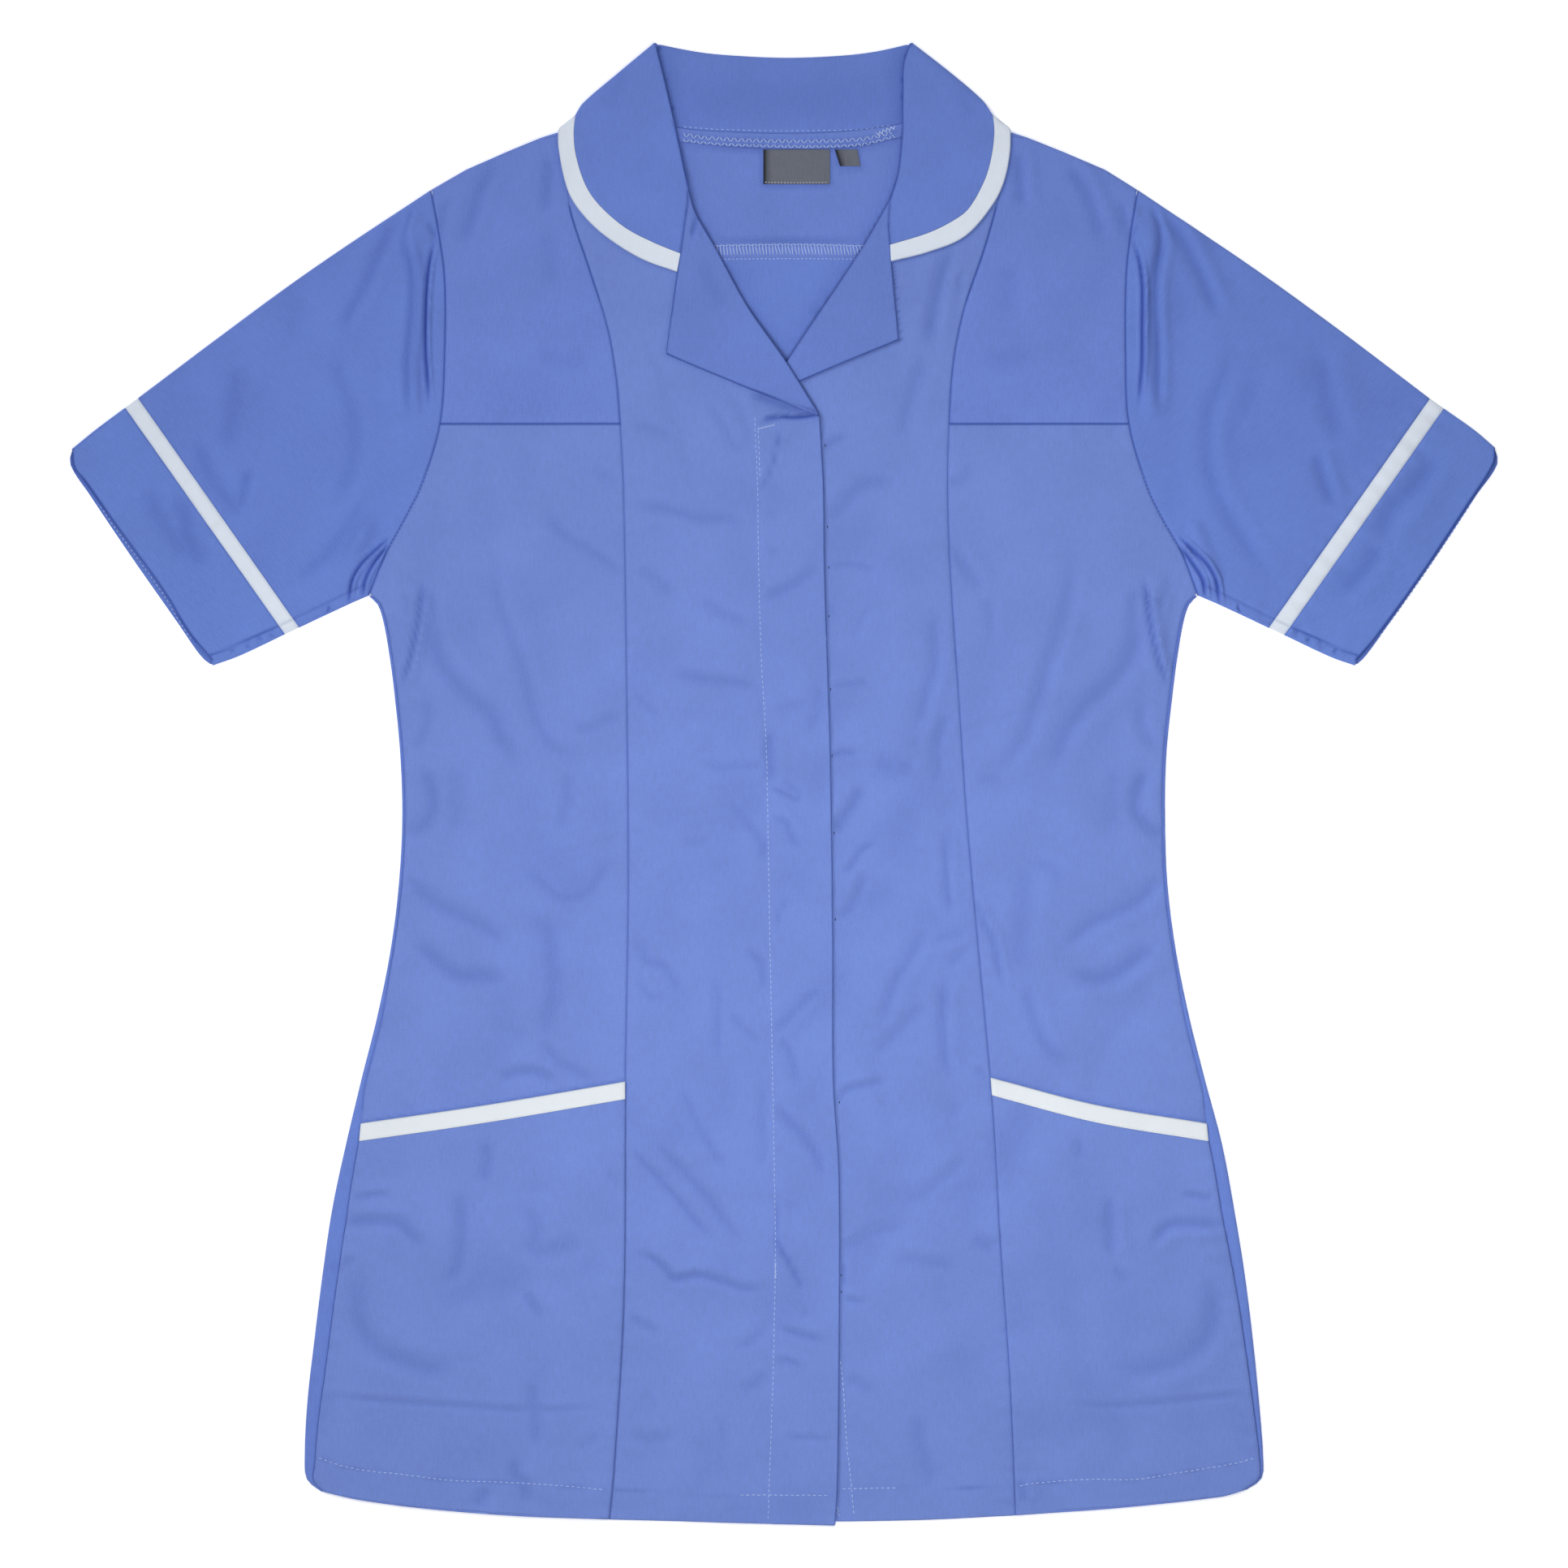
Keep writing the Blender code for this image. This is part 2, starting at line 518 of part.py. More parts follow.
def lapel(hand, height):
    """The facing turned back at the break line, with a short lip under its fold."""
    shape = SHAPE[hand]
    folds = list(break_line[hand])
    out = inward(folds, NAPE)
    folds[0] = folds[0].lerp(folds[1], LAPEL_START)
    inner = [point - side * (HALF_WALL + LAPEL_TURN) for point, side in zip(folds, out)]
    outer = Run(shape["lapel_side"], smooth=False).spread(ROW_STEPS[1])
    foot = Run([outer[-1], *shape["lapel_foot"][1:-1], inner[-1]], smooth=False).spread(LAPEL_COLUMNS)
    rows = fill(across(outer[0], inner[0], LAPEL_COLUMNS), foot, outer, inner)
    top = lifted(trimmed(rows, left=SEAM / 2), height, 1)
    turn = []
    for point, side, upper in zip(inner, out, top):
        low = height(point.x, point.y)
        ring = []
        for angle in reversed(turn_angles()):
            place = point + side * (LAPEL_TURN * math.cos(angle))
            ring.append(solid(place, low + LAPEL_TURN * (1.0 + math.sin(angle))))
        ring[0] = upper[-1]
        ring.append(solid(point - side * LIP, low))
        turn.append(ring)
    cloth("lapel_" + hand, [top, turn], BLUE)


# Back

def wrap(edge, side, low, high, seam=None):
    """A strip from the underside of a fold, round it, to a seam or a short lip on the front."""
    rows = []
    for index, (point, towards) in enumerate(zip(edge, side)):
        bottom, top = low(point.x, point.y), high(point.x, point.y)
        radius = 0.5 * (top - bottom)
        row = []
        for angle in turn_angles():
            place = point + towards * (HALF_WALL + radius * (1.0 - math.cos(angle)))
            row.append(solid(place, bottom + radius * (1.0 + math.sin(angle))))
        end = point + towards * (HALF_WALL + radius + LIP)
        if seam is not None:
            end = pulled(seam[index], point, SEAM / 2)
        row.append(solid(end, top))
        rows.append(row)
    return rows


def lower_back():
    """The lower back, and the strips of it that are turned round the sides to the front."""
    edges, wraps = {}, []
    for hand in SHAPE:
        fold = side_fold[hand]
        towards = [TOWARDS_MIDDLE[hand]] * len(fold)
        wraps.append(wrap(fold, towards, table_height, side_height, side_seam[hand]))
        turn_start = [point + side * (HALF_WALL + HALF_TURN) for point, side in zip(fold, towards)]
        hole = [point + TOWARDS_MIDDLE[hand] * (SEAM / 2) for point in armhole[hand][NECK_ROWS:ARMPIT_ROW]]
        edges[hand] = hole + turn_start
    left, right = SHAPE["l"], SHAPE["r"]
    hem = Run([
        edges["l"][-1], *left["hem"][1:], *left["hem_middle"][1:-1],
        *reversed(right["hem_middle"][:-1]), *reversed(right["hem"][1:-1]), edges["r"][-1],
    ])
    top = across(edges["l"][0], edges["r"][0], BACK_COLUMNS)
    rows = trimmed(fill(top, hem.spread(BACK_COLUMNS), edges["l"], edges["r"]), top=SEAM / 2)
    cloth("back_lower", [lifted(rows, table_height), *wraps], BLUE)


def upper_back():
    """The upper back, and the strips of it that are turned over the shoulders to the front."""
    tops, holes, strips = {}, {}, []
    for hand in SHAPE:
        line = [flat(point) for point in SHAPE[hand]["shoulder"]]
        line[0] = pulled(line[0], line[1], SEAM / 2)
        line[-1] = pulled(line[-1], line[-2], 2 * SEAM)
        sides = inward(line, WAIST)
        strips.append(wrap(line, sides, back_height, front_height))
        tops[hand] = [point + side * (HALF_WALL + HALF_TURN) for point, side in zip(line, sides)]
        holes[hand] = [point + TOWARDS_MIDDLE[hand] * (SEAM / 2) for point in armhole[hand][:NECK_ROWS + 1]]
        holes[hand][0] = tops[hand][0]
    neck_edge = [point - Vector((0.0, SEAM / 2)) for point in neck_back[1:-1]]
    top = tops["l"] + neck_edge + tops["r"][::-1]
    foot = [holes["l"][-1].lerp(holes["r"][-1], share) for share in shares(top)]
    rows = trimmed(fill(top, foot, holes["l"], holes["r"]), foot=SEAM / 2)
    cloth("back_yoke", [lifted(rows, back_height), *strips], BLUE)


# Collar: a stand that rises from the neck seam to the roll, and a fall that turns down from it.
# At the back the fall lies under the stand, at the front on it, and it turns over at the shoulders.

def roll_ring(stand_top, up, out):
    """Points from the top of the stand round the roll to the start of the fall."""
    return [stand_top + out * (ROLL_TURN * (1.0 + math.sin(angle))) + up * (ROLL_TURN * math.cos(angle))
            for angle in turn_angles(ROLL_STEPS)]


def turned_over(line, sides, radius, angle):
    """A line carried round the fold at the shoulder, by an angle of the turn."""
    height = FOLD_MIDDLE + radius * math.sin(angle)
    reach = HALF_WALL + radius * (1.0 - math.cos(angle))
    return [solid(point + side * reach, height) for point, side in zip(line, sides)]


def laid_columns(seam_points, rolls, ups, falls, height, layers):
    """Columns of the stand, the roll and the fall where the collar lies flat, on the front or the back."""
    columns = []
    out = Vector((0.0, 0.0, math.copysign(1.0, layers)))
    for seam_point, roll_point, up, fall in zip(seam_points, rolls, ups, falls):
        stand_top = roll_point - up * ROLL_DEPTH
        stand = lifted([across(pulled(seam_point, stand_top, SEAM / 2), stand_top, STAND_ROWS)], height)[0]
        ring = roll_ring(stand[-1], up.to_3d(), out)
        lying = lifted([fall], height, layers)[0]
        columns.append(stand[:-1] + ring + lying[1:])
    return columns


def shoulder_fold(hand):
    """The stand's and the fall's folds at the shoulder, and the directions square to them."""
    neck_point = flat(SHAPE[hand]["neck_point"])
    tip = flat(SHAPE[hand]["roll"][0])
    up = (tip - neck_point).normalized()
    into = Vector((up.y, -up.x))
    into = into if into.dot(NAPE - tip) > 0.0 else -into
    stand_top = tip - up * ROLL_DEPTH
    stand = across(pulled(neck_point, stand_top, SEAM / 2), stand_top, STAND_ROWS)
    fall = Run([stand_top - into * LAYER, *SHAPE[hand]["shoulder_roll"][1:]]).spread(FALL_ROWS)
    sides = inward(fall, INSIDE_COLLAR)
    sides[0] = into
    return stand, fall, sides, up, into


def collar_half(hand):
    """Columns from the middle of the back, over the shoulder, to the front end of the collar."""
    shape = SHAPE[hand]
    stand_fold, fall_fold, fall_sides, up_fold, into = shoulder_fold(hand)

    turned = []
    for angle in turn_angles():
        stand = turned_over(stand_fold, [into] * len(stand_fold), HALF_TURN, angle)
        ring = roll_ring(stand[-1], up_fold.to_3d(), solid(-into * math.cos(angle), math.sin(angle)))
        fall = turned_over(fall_fold, fall_sides, FALL_TURN, angle)
        turned.append(stand[:-1] + ring + fall[1:])

    fold_inside = [point + side * (HALF_WALL + FALL_TURN) for point, side in zip(fall_fold, fall_sides)]
    seam_start = flat(shape["neck_point"]) + into * (HALF_WALL + HALF_TURN)

    def lay(seam_points, rolls, ups, edge, end_side, height, layers):
        ups = [up_fold, *ups[1:]]
        starts = [point - up * ROLL_DEPTH for point, up in zip(rolls, ups)]
        starts[0] = fold_inside[0]
        filled = fill(starts, [fold_inside[-1], *edge[1:]], fold_inside, end_side)
        falls = [list(column) for column in zip(*filled)]
        return laid_columns([seam_start, *seam_points[1:]], rolls, ups, falls, height, layers)[1:]

    front_seam = []
    for first, second in zip(neckline[hand], neckline[hand][1:]):
        front_seam += across(first, second, FRONT_STATIONS // NECK_ROWS)[:-1]
    front_seam.append(neckline[hand][-1])
    rolls = Run(shape["roll"]).spread(FRONT_STATIONS)
    ups = inward(rolls, NAPE)
    edge = Run(shape["edging_inside"]).spread(FRONT_STATIONS)
    gorge = Run(shape["gorge"], smooth=False).spread(FALL_ROWS)
    gorge[0] = rolls[-1] - ups[-1] * ROLL_DEPTH
    front = lay(front_seam, rolls, ups, edge, gorge, front_height, 1)

    start = 0.0 if hand == "l" else 1.0
    back_seam = neck_back if hand == "l" else neck_back[::-1]
    rolls = Run(BACK_ROLL).spread(BACK_STATIONS, start, 0.5)
    ups = [Vector((0.0, 1.0))] * len(rolls)
    edge = Run(HIDDEN_EDGING_INSIDE).spread(BACK_STATIONS, start, 0.5)
    middle = across(rolls[-1] - ups[-1] * ROLL_DEPTH, edge[-1], FALL_ROWS)
    back = lay(back_seam, rolls, ups, edge, middle, back_height, -1)
    return back[::-1] + turned + front


def edging_half(hand):
    """Points of the edging's outer edge, station by station like the collar's columns."""
    shape = SHAPE[hand]
    corner = flat(shape["edging_outside"][0])
    side = inward([flat(shape["shoulder_roll"][-1]), corner], INSIDE_COLLAR)[0]
    turned = [turned_over([corner], [side], FALL_TURN, angle)[0] for angle in turn_angles()]
    front = lifted([Run(shape["edging_outside"]).spread(FRONT_STATIONS)[1:]], front_height, 1)[0]
    start = 0.0 if hand == "l" else 1.0
    hidden = Run(HIDDEN_EDGING_OUTSIDE).spread(BACK_STATIONS, start, 0.5)
    back = lifted([hidden[1:]], table_height)[0]
    return back[::-1] + turned + front


def shortened(row, gap):
    """A row with its two end points pulled in."""
    return [pulled(row[0], row[1], gap), *row[1:-1], pulled(row[-1], row[-2], gap)]


def collar():
    """The collar, and the white edging that carries on its fall all the way round."""
    left, right = collar_half("l"), collar_half("r")
    rows = [list(row) for row in zip(*(left[::-1] + right[1:]))]
    outside = edging_half("l")[::-1] + edging_half("r")[1:]
    middle = [a.lerp(b, 0.5) for a, b in zip(rows[-1], outside)]
    inside = [pulled(a, b, SEAM) for a, b in zip(rows[-1], outside)]
    rows[-1] = [pulled(point, above, SEAM / 2) for point, above in zip(rows[-1], rows[-2])]
    cloth("collar", [[shortened(row, SEAM / 2) for row in rows]], BLUE)
    cloth("collar_band", [[shortened(row, SEAM / 2) for row in (inside, middle, outside)]], WHITE)


# What lies on the inside of the back neck

def slab(name, upper, lower, rows, colour):
    """A small flat piece one layer above the back, between two lines of points."""
    points = fill(upper, lower, across(upper[0], lower[0], rows), across(upper[-1], lower[-1], rows))
    cloth(name, [lifted(points, back_height, 1)], colour)


def neck_inside():
    """The turning of the neck seam, and the two labels caught under it."""
    lines = []
    for points in (BACK_NECK_SEAM, NECK_TURNING_FOOT):
        run = Run(points)
        ends = [run.share(x, axis=0) for x in NECK_TURNING_ENDS]
        lines.append(run.spread(TURNING_COLUMNS, *ends))
    slab("neck_seam", *lines, 1, BLUE)
    for name, corners in (("label_main", MAIN_LABEL), ("label_size", SIZE_LABEL)):
        a, b, c, d = [flat(corner) for corner in corners]
        slab(name, across(a, b, LABEL_COLUMNS), across(d, c, LABEL_COLUMNS), LABEL_ROWS, GREY)


# Sleeves

def sleeve_fold(point, inner):
    """Points round the fold at one end of a flattened sleeve, from its underside to its top."""
    side = (inner - point).normalized()
    return [solid(point + side * (HALF_WALL + HALF_TURN * (1.0 - math.cos(angle))),
                  BACK + HALF_TURN * (1.0 + math.sin(angle))) for angle in turn_angles()]


def tube(name, front, back, colour):
    """A flattened sleeve: front and back rows of points joined by folds at their two ends."""
    rings = []
    for upper, lower in zip(front, back):
        over = sleeve_fold(upper[0], upper[1])
        under = sleeve_fold(upper[-1], upper[-2])
        top = lifted([upper[1:-1]], front_height)[0]
        bottom = lifted([lower[1:-1]], table_height)[0]
        rings.append(over + top + under[::-1] + bottom[::-1])
    cloth(name, [rings], colour, closed=True)


def sleeve(hand):
    """The sleeve, its white band and its plain cuff."""
    shape = SHAPE[hand]
    hole = armhole[hand]
    places = shares(hole)
    over = [Run(shape["overarm"]).at(share) for share in SLEEVE_ROWS]
    under = [Run(shape["underarm"]).at(share) for share in SLEEVE_ROWS]
    head = [Run(shape["band_top"]).at(place) for place in places]
    rows = trimmed(fill(hole, head, over, under), top=SEAM, foot=SEAM / 2)
    tube("sleeve_" + hand, rows, rows, BLUE)

    foot = [Run(shape["band_foot"]).at(place) for place in places]
    band = trimmed([head, foot], top=SEAM / 2, foot=SEAM / 2)
    tube("sleeve_band_" + hand, band, band, WHITE)

    cuff_over = Run(shape["cuff_over"]).spread(CUFF_ROWS)
    cuff_under = Run(shape["cuff_under"]).spread(CUFF_ROWS)
    sides = []
    for line in ("cuff_front", "cuff_back"):
        edge = [Run(shape[line]).at(place) for place in places]
        edge[0], edge[-1] = cuff_over[-1], cuff_under[-1]
        sides.append(trimmed(fill(foot, edge, cuff_over, cuff_under), top=SEAM / 2))
    tube("cuff_" + hand, sides[0], sides[1], BLUE)


# Pockets

def pocket(hand):
    """The panel that lies on the side front, and the white band along its opening."""
    shape = SHAPE[hand]
    seams = (Run(side_seam[hand], smooth=False), Run(panel_seam[hand], smooth=False))
    opening = Run(shape["pocket_top"]).spread(SIDE_COLUMNS)
    band_foot = [point + Vector((0.0, -POCKET_BAND)) for point in opening]
    for line in (opening, band_foot):
        for end, seam in zip((0, -1), seams):
            line[end].x = seam.at(seam.share(line[end].y)).x
    band = trimmed([opening, band_foot], left=SEAM, right=SEAM, foot=SEAM / 2)
    cloth("pocket_band_" + hand, [lifted(band, front_height, 1)], WHITE)

    left = [band_foot[0]] + side_seam[hand][HIP_ROW - ARMPIT_ROW + 1:]
    right = [band_foot[-1]] + panel_seam[hand][HIP_ROW + 1:]
    foot = Run([left[-1], *shape["hem"][1:-1], right[-1]]).spread(SIDE_COLUMNS)
    rows = fill(band_foot, foot, left, right)
    rows = trimmed(rows, left=SEAM, right=SEAM, top=SEAM / 2, foot=POCKET_HEM_GAP)
    cloth("pocket_" + hand, [lifted(rows, front_height, 1)], BLUE)


for old in list(bpy.data.objects):
    bpy.data.objects.remove(old, do_unlink=True)
garment = bpy.data.collections.new("work_tunic")
bpy.context.scene.collection.children.link(garment)

# Lines that two or more pieces share
armhole, side_fold, side_seam, panel_seam, neckline, break_line = {}, {}, {}, {}, {}, {}
for hand, shape in SHAPE.items():
    armhole[hand] = Run(shape["armhole"]).rows((
        (BACK_SEAM_LEVEL, ROW_STEPS[0]),
        (CHEST_SEAM_LEVEL, ROW_STEPS[1]),
        (None, ROW_STEPS[2]),
    ))
    panel_seam[hand] = Run(shape["panel_seam"]).rows(body_legs(
        BACK_SEAM_LEVEL, CHEST_SEAM_LEVEL, ARMPIT_LEVEL, UNDERARM_LEVEL, HIP["panel"],
        HEM_TURN["panel"], None))
    side_fold[hand] = Run(shape["side"]).rows(body_legs(
        UNDERARM_LEVEL, HIP["side"], HEM_TURN["side"], None))
    side_fold[hand][0] = pulled(side_fold[hand][0], side_fold[hand][1], ARMPIT_GAP)
    side_seam[hand] = seam_from(side_fold[hand], hand)
    neckline[hand] = Run(shape["neckline"]).spread(NECK_ROWS)
    break_line[hand] = Run(shape["break_line"]).spread(ROW_STEPS[1])
neck_back = Run(BACK_NECK_SEAM).spread(2 * BACK_STATIONS)

lower_back()
upper_back()
collar()
neck_inside()
for hand, height in (("l", left_front_height), ("r", front_height)):
    shoulder_panel(hand)
    side_front(hand)
    centre_front(hand, height)
    lapel(hand, height)
    sleeve(hand)
    pocket(hand)
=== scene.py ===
# %% [markdown]
# # A short-sleeved work tunic, laid flat with its front up
#
# The tunic shows twenty-five pieces of woven cloth. It lies on a table with its neck towards +Y.
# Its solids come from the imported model. This script puts real cloth in their place: thin shells
# with the same outlines, and with creases, seams, sewing and a woven finish.
# Lengths are millimetres until a mesh is made, because a cutter thinks in millimetres.

import math

import bmesh
import bpy
import numpy as np
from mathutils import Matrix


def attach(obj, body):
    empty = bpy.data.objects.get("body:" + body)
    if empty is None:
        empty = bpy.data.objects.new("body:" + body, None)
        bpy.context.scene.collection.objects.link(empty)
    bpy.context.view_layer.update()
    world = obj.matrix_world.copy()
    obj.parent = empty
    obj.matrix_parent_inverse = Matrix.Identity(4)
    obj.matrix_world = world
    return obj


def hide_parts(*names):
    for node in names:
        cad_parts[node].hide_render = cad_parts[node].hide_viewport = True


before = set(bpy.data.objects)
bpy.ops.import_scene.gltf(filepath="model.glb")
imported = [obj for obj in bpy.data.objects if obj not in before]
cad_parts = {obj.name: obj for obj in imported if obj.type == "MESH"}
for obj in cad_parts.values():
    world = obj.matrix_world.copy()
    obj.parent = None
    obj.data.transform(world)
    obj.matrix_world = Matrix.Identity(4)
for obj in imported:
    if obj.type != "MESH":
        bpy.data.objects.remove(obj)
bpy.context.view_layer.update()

# %% [markdown]
# ## Camera, light and floor
#
# The camera looks straight down through a long lens, as a copy stand does, so the outlines keep
# their true proportions. One large lamp at the upper left shapes the creases, a second one near
# the hem makes the lower half a little brighter, and an even white sky fills the shadows.

# %% Camera
FIELD = 850.0                # width of the picture on the table
LENS = 100.0
SENSOR = 36.0
TO_MIDDLE = np.array((0.18, -0.16))    # brings the middle of the laid garment to the origin
MM = 0.001


def placed(name, content):
    """A new object in the scene, round a mesh, a lamp or a camera."""
    holder = bpy.data.objects.new(name, content)
    bpy.context.collection.objects.link(holder)
    return holder


eye = bpy.data.cameras.new("copy_stand_camera")
eye.lens, eye.sensor_width = LENS, SENSOR
camera = placed("copy_stand_camera", eye)
camera.location = (TO_MIDDLE[0] * MM, TO_MIDDLE[1] * MM, FIELD * LENS / SENSOR * MM)
bpy.context.scene.camera = camera
print("camera height", round(camera.location.z, 3), "m")

# %% Light
LAMPS = {                    # place and size in metres, and power in watts
    "key_lamp": ((-3.28, 2.48, 3.52), 2.08, 118.0),
    "fill_lamp": ((2.6, -0.9, 2.1), 1.8, 6.5),
    "softbox": ((0.04, -0.14, 0.80), 0.5, 4.4),
}
LAMP_TINT = (1.0, 0.985, 0.960)
SKY_TINT = (0.86, 0.93, 1.0)
SKY = 0.155


def lamp(name, place, size, power):
    """A square lamp that looks down at the middle of the garment and stays out of the picture."""
    light = bpy.data.lights.new(name, "AREA")
    light.size, light.energy, light.color = size, power, LAMP_TINT
    holder = placed(name, light)
    holder.location = place
    holder.rotation_euler = (-holder.location).to_track_quat("-Z", "Y").to_euler()
    holder.visible_camera = False


def dial(node, **values):
    """Set some inputs of a node by name, with underscores for the spaces."""
    for name, value in values.items():
        node.inputs[name.replace("_", " ")].default_value = value


for name, settings in LAMPS.items():
    lamp(name, *settings)
world = bpy.data.worlds.new("white_room")
world.use_nodes = True
dial(world.node_tree.nodes["Background"], Color=(*SKY_TINT, 1.0), Strength=SKY)
bpy.context.scene.world = world
bpy.context.scene.view_settings.view_transform = "Standard"
print(len(LAMPS), "lamps and a pale sky")

# %% [markdown]
# ## Shader sums as Python
#
# A weave is made of sines and noise. Written as nodes by hand that is long, so one small class
# wraps a socket and lets plain sums make the Math nodes.


# %% Sockets that take part in sums
class Wired:
    """A socket of a material's node tree that can be added, multiplied and mixed."""

    def __init__(self, tree, socket):
        self.tree = tree
        self.socket = socket

    def node(self, kind, settings=None, output=0, **inputs):
        """A node of any kind: its settings first, then values or links of its named inputs."""
        node = self.tree.nodes.new(kind)
        for name, value in (settings or {}).items():
            setattr(node, name, value)
        for name, value in inputs.items():
            key = int(name[1:]) if name[0] == "_" else name.replace("_", " ")
            if isinstance(value, Wired):
                self.tree.links.new(value.socket, node.inputs[key])
            else:
                node.inputs[key].default_value = value
        return Wired(self.tree, node.outputs[output])

    def math(self, operation, *others):
        """A Math node of this socket and up to two more values."""
        inputs = {"_%d" % (place + 1): value for place, value in enumerate(others)}
        return self.node("ShaderNodeMath", {"operation": operation}, _0=self, **inputs)

    def __add__(self, other):
        return self.math("ADD", other)

    def __mul__(self, other):
        return self.math("MULTIPLY", other)

    __radd__ = __add__
    __rmul__ = __mul__

    def sine(self):
        """The sine of this value in radians."""
        return self.math("SINE")

    def blend(self, low, high):
        """A colour between two, by this value."""
        return self.node("ShaderNodeMix", {"data_type": "RGBA"}, 2, _0=self, _6=low, _7=high)


# %% [markdown]
# ## The blue cloth
#
# Workwear cloth is a close polyester and cotton weave. At arm's length it looks even, with a very
# fine heather where pale and dark fibres lie side by side, and it has almost no gloss. The finish
# reads the piece's own UV map, laid along the grain in metres, so threads run true on every piece.

# %% Cloth finishes
THREADS = 2.0 * math.pi / 0.00055      # one thread every 0.55 mm
NOISES = {                   # scale, detail and share in the heather
    "fibre": (1100.0, 1.0, 0.35),
    "slub": (240.0, 2.0, 0.15),
    "dye": (28.0, 1.0, 0.25),
    "streak": (1.0, 1.0, 0.25),
}
STREAK_DRAW = (900.0, 150.0, 1.0)      # the streaks are drawn out along the warp
CONTRAST, CENTRING = 2.2, -0.6         # bring the mixed noise from 0 to 1
BUMP_STRENGTH = 0.6
MATT, MATT_SWING = 0.81, 0.10          # roughness, and how much the slubs add to it
GLOSS, SHEEN, SHEEN_ROUGHNESS = 0.25, 0.06, 0.5
BLUE = (0.170, 0.260, 0.672)
WHITE = (0.800, 0.850, 0.905)
GREY = (0.152, 0.166, 0.208)
THREAD_BLUE = (0.500, 0.620, 0.950)
THREAD_GREY = (0.58, 0.60, 0.64)
BLUE_SHADE = (0.12, 0.225, 0.50)       # what is left of each colour under full painted shade
WHITE_SHADE = (0.40, 0.46, 0.56)


def tinted(colour, *factors):
    """A colour made darker or lighter: by one factor, or by one for each of its parts."""
    factors = factors if len(factors) == 3 else factors * 3
    return tuple(min(value * factor, 1.0) for value, factor in zip(colour, factors))


def woven_finish(name, colour, heather=0.13, relief=0.00006, deep=BLUE_SHADE):
    """A plain weave: threads as bump, fibres as a heather, and the sheet's painted shade."""
    finish = bpy.data.materials.new(name)
    finish.use_nodes = True
    tree = finish.node_tree
    shader = tree.nodes["Principled BSDF"]
    grain = Wired(tree, None).node("ShaderNodeUVMap", {"uv_map": "grain"})
    across = grain.node("ShaderNodeSeparateXYZ", Vector=grain)
    along = Wired(tree, across.socket.node.outputs[1])
    warp = grain.node("ShaderNodeMapping", Vector=grain, Scale=STREAK_DRAW)
    noises = {kind: grain.node("ShaderNodeTexNoise", Vector=warp if kind == "streak" else grain,
                               Scale=scale, Detail=detail)
              for kind, (scale, detail, _) in NOISES.items()}
    mask = sum(noises[kind] * share for kind, (_, _, share) in NOISES.items())
    pale, full = ((*tinted(colour, 1.0 + swing), 1.0) for swing in (-heather, heather))
    painted = mask.math("MULTIPLY_ADD", CONTRAST, CENTRING).blend(pale, full)
    # painted shade that each sheet carries at its points, from 0 to 1
    depth = grain.node("ShaderNodeAttribute", {"attribute_name": "crease_shade"}, 2)
    painted = depth.blend(painted, (*tinted(colour, *deep), 1.0))
    weave = (across * THREADS).sine() * (along * THREADS).sine()
    height = weave * 0.5 + noises["fibre"]
    bump = height.node("ShaderNodeBump", Height=height, Distance=relief, Strength=BUMP_STRENGTH)
    matt = noises["slub"] * MATT_SWING + MATT
    tree.links.new(painted.socket, shader.inputs["Base Color"])
    tree.links.new(bump.socket, shader.inputs["Normal"])
    tree.links.new(matt.socket, shader.inputs["Roughness"])
    dial(shader, Specular_IOR_Level=GLOSS, Sheen_Weight=SHEEN, Sheen_Roughness=SHEEN_ROUGHNESS)
    return finish


BLUE_PAINTED_SHADES = {               # painted shade: each group of pieces has its own darker copy of the blue, as the light falls a little differently on it
    "shoulder": (0.93, 0.95, 1.02),
    "collar": (0.87, 0.92, 1.01),
    "lapel": (0.86, 0.89, 0.96),
    "sleeve": (0.86, 0.92, 1.01),
    "cuff": (0.86, 0.94, 1.02),
}
EDGING = {"heather": 0.03, "deep": WHITE_SHADE}
THREAD = {"heather": 0.095}
FINISHES = {
    "body": woven_finish("blue_cloth", BLUE),
    "white": woven_finish("white_edging", WHITE, **EDGING),
    # painted shade: a cooler copy of the white for the edging at the collar and sleeves, which
    # lies in bluer light than the pocket tape
    "shaded_white": woven_finish("white_edging_painted_shade", tinted(WHITE, 0.98, 1.0, 1.07), **EDGING),
    "grey": woven_finish("grey_label", GREY, heather=0.165, relief=0.00012,
                         deep=(0.08, 0.08, 0.10)),
    "thread": woven_finish("pale_blue_thread", THREAD_BLUE, **THREAD),
    # painted shade: near-black thread for the marks along the closing edge
    "shade_mark_thread": woven_finish("painted_shade_mark_blue", tinted(BLUE, 0.22), **THREAD),
    "grey_thread": woven_finish("pale_grey_thread", THREAD_GREY, **THREAD),
}
for part, tint in BLUE_PAINTED_SHADES.items():
    FINISHES[part] = woven_finish("blue_cloth_" + part, tinted(BLUE, *tint))
print(len(FINISHES), "finishes")

# %% [markdown]
# ## The table everything lies on

# %% Floor
TABLE_SIZE = 8.0             # metres
TABLE_GAP = 0.0002           # the table lies just below the garment
PAPER = (0.95, 0.95, 0.95, 1.0)
PAPER_GLOW = 0.44            # keeps the table as pale as a lit background

bpy.ops.object.select_all(action="DESELECT")
bpy.ops.mesh.primitive_plane_add(size=TABLE_SIZE, location=(0.0, 0.0, -TABLE_GAP))
floor = bpy.context.object
floor.name = "pale_table"
paper = bpy.data.materials.new("pale_table")
paper.use_nodes = True
dial(paper.node_tree.nodes["Principled BSDF"], Base_Color=PAPER, Roughness=0.9,
     Emission_Color=(1.0, 1.0, 1.0, 1.0), Emission_Strength=PAPER_GLOW)
floor.data.materials.append(paper)
print("table", TABLE_SIZE, "m across")

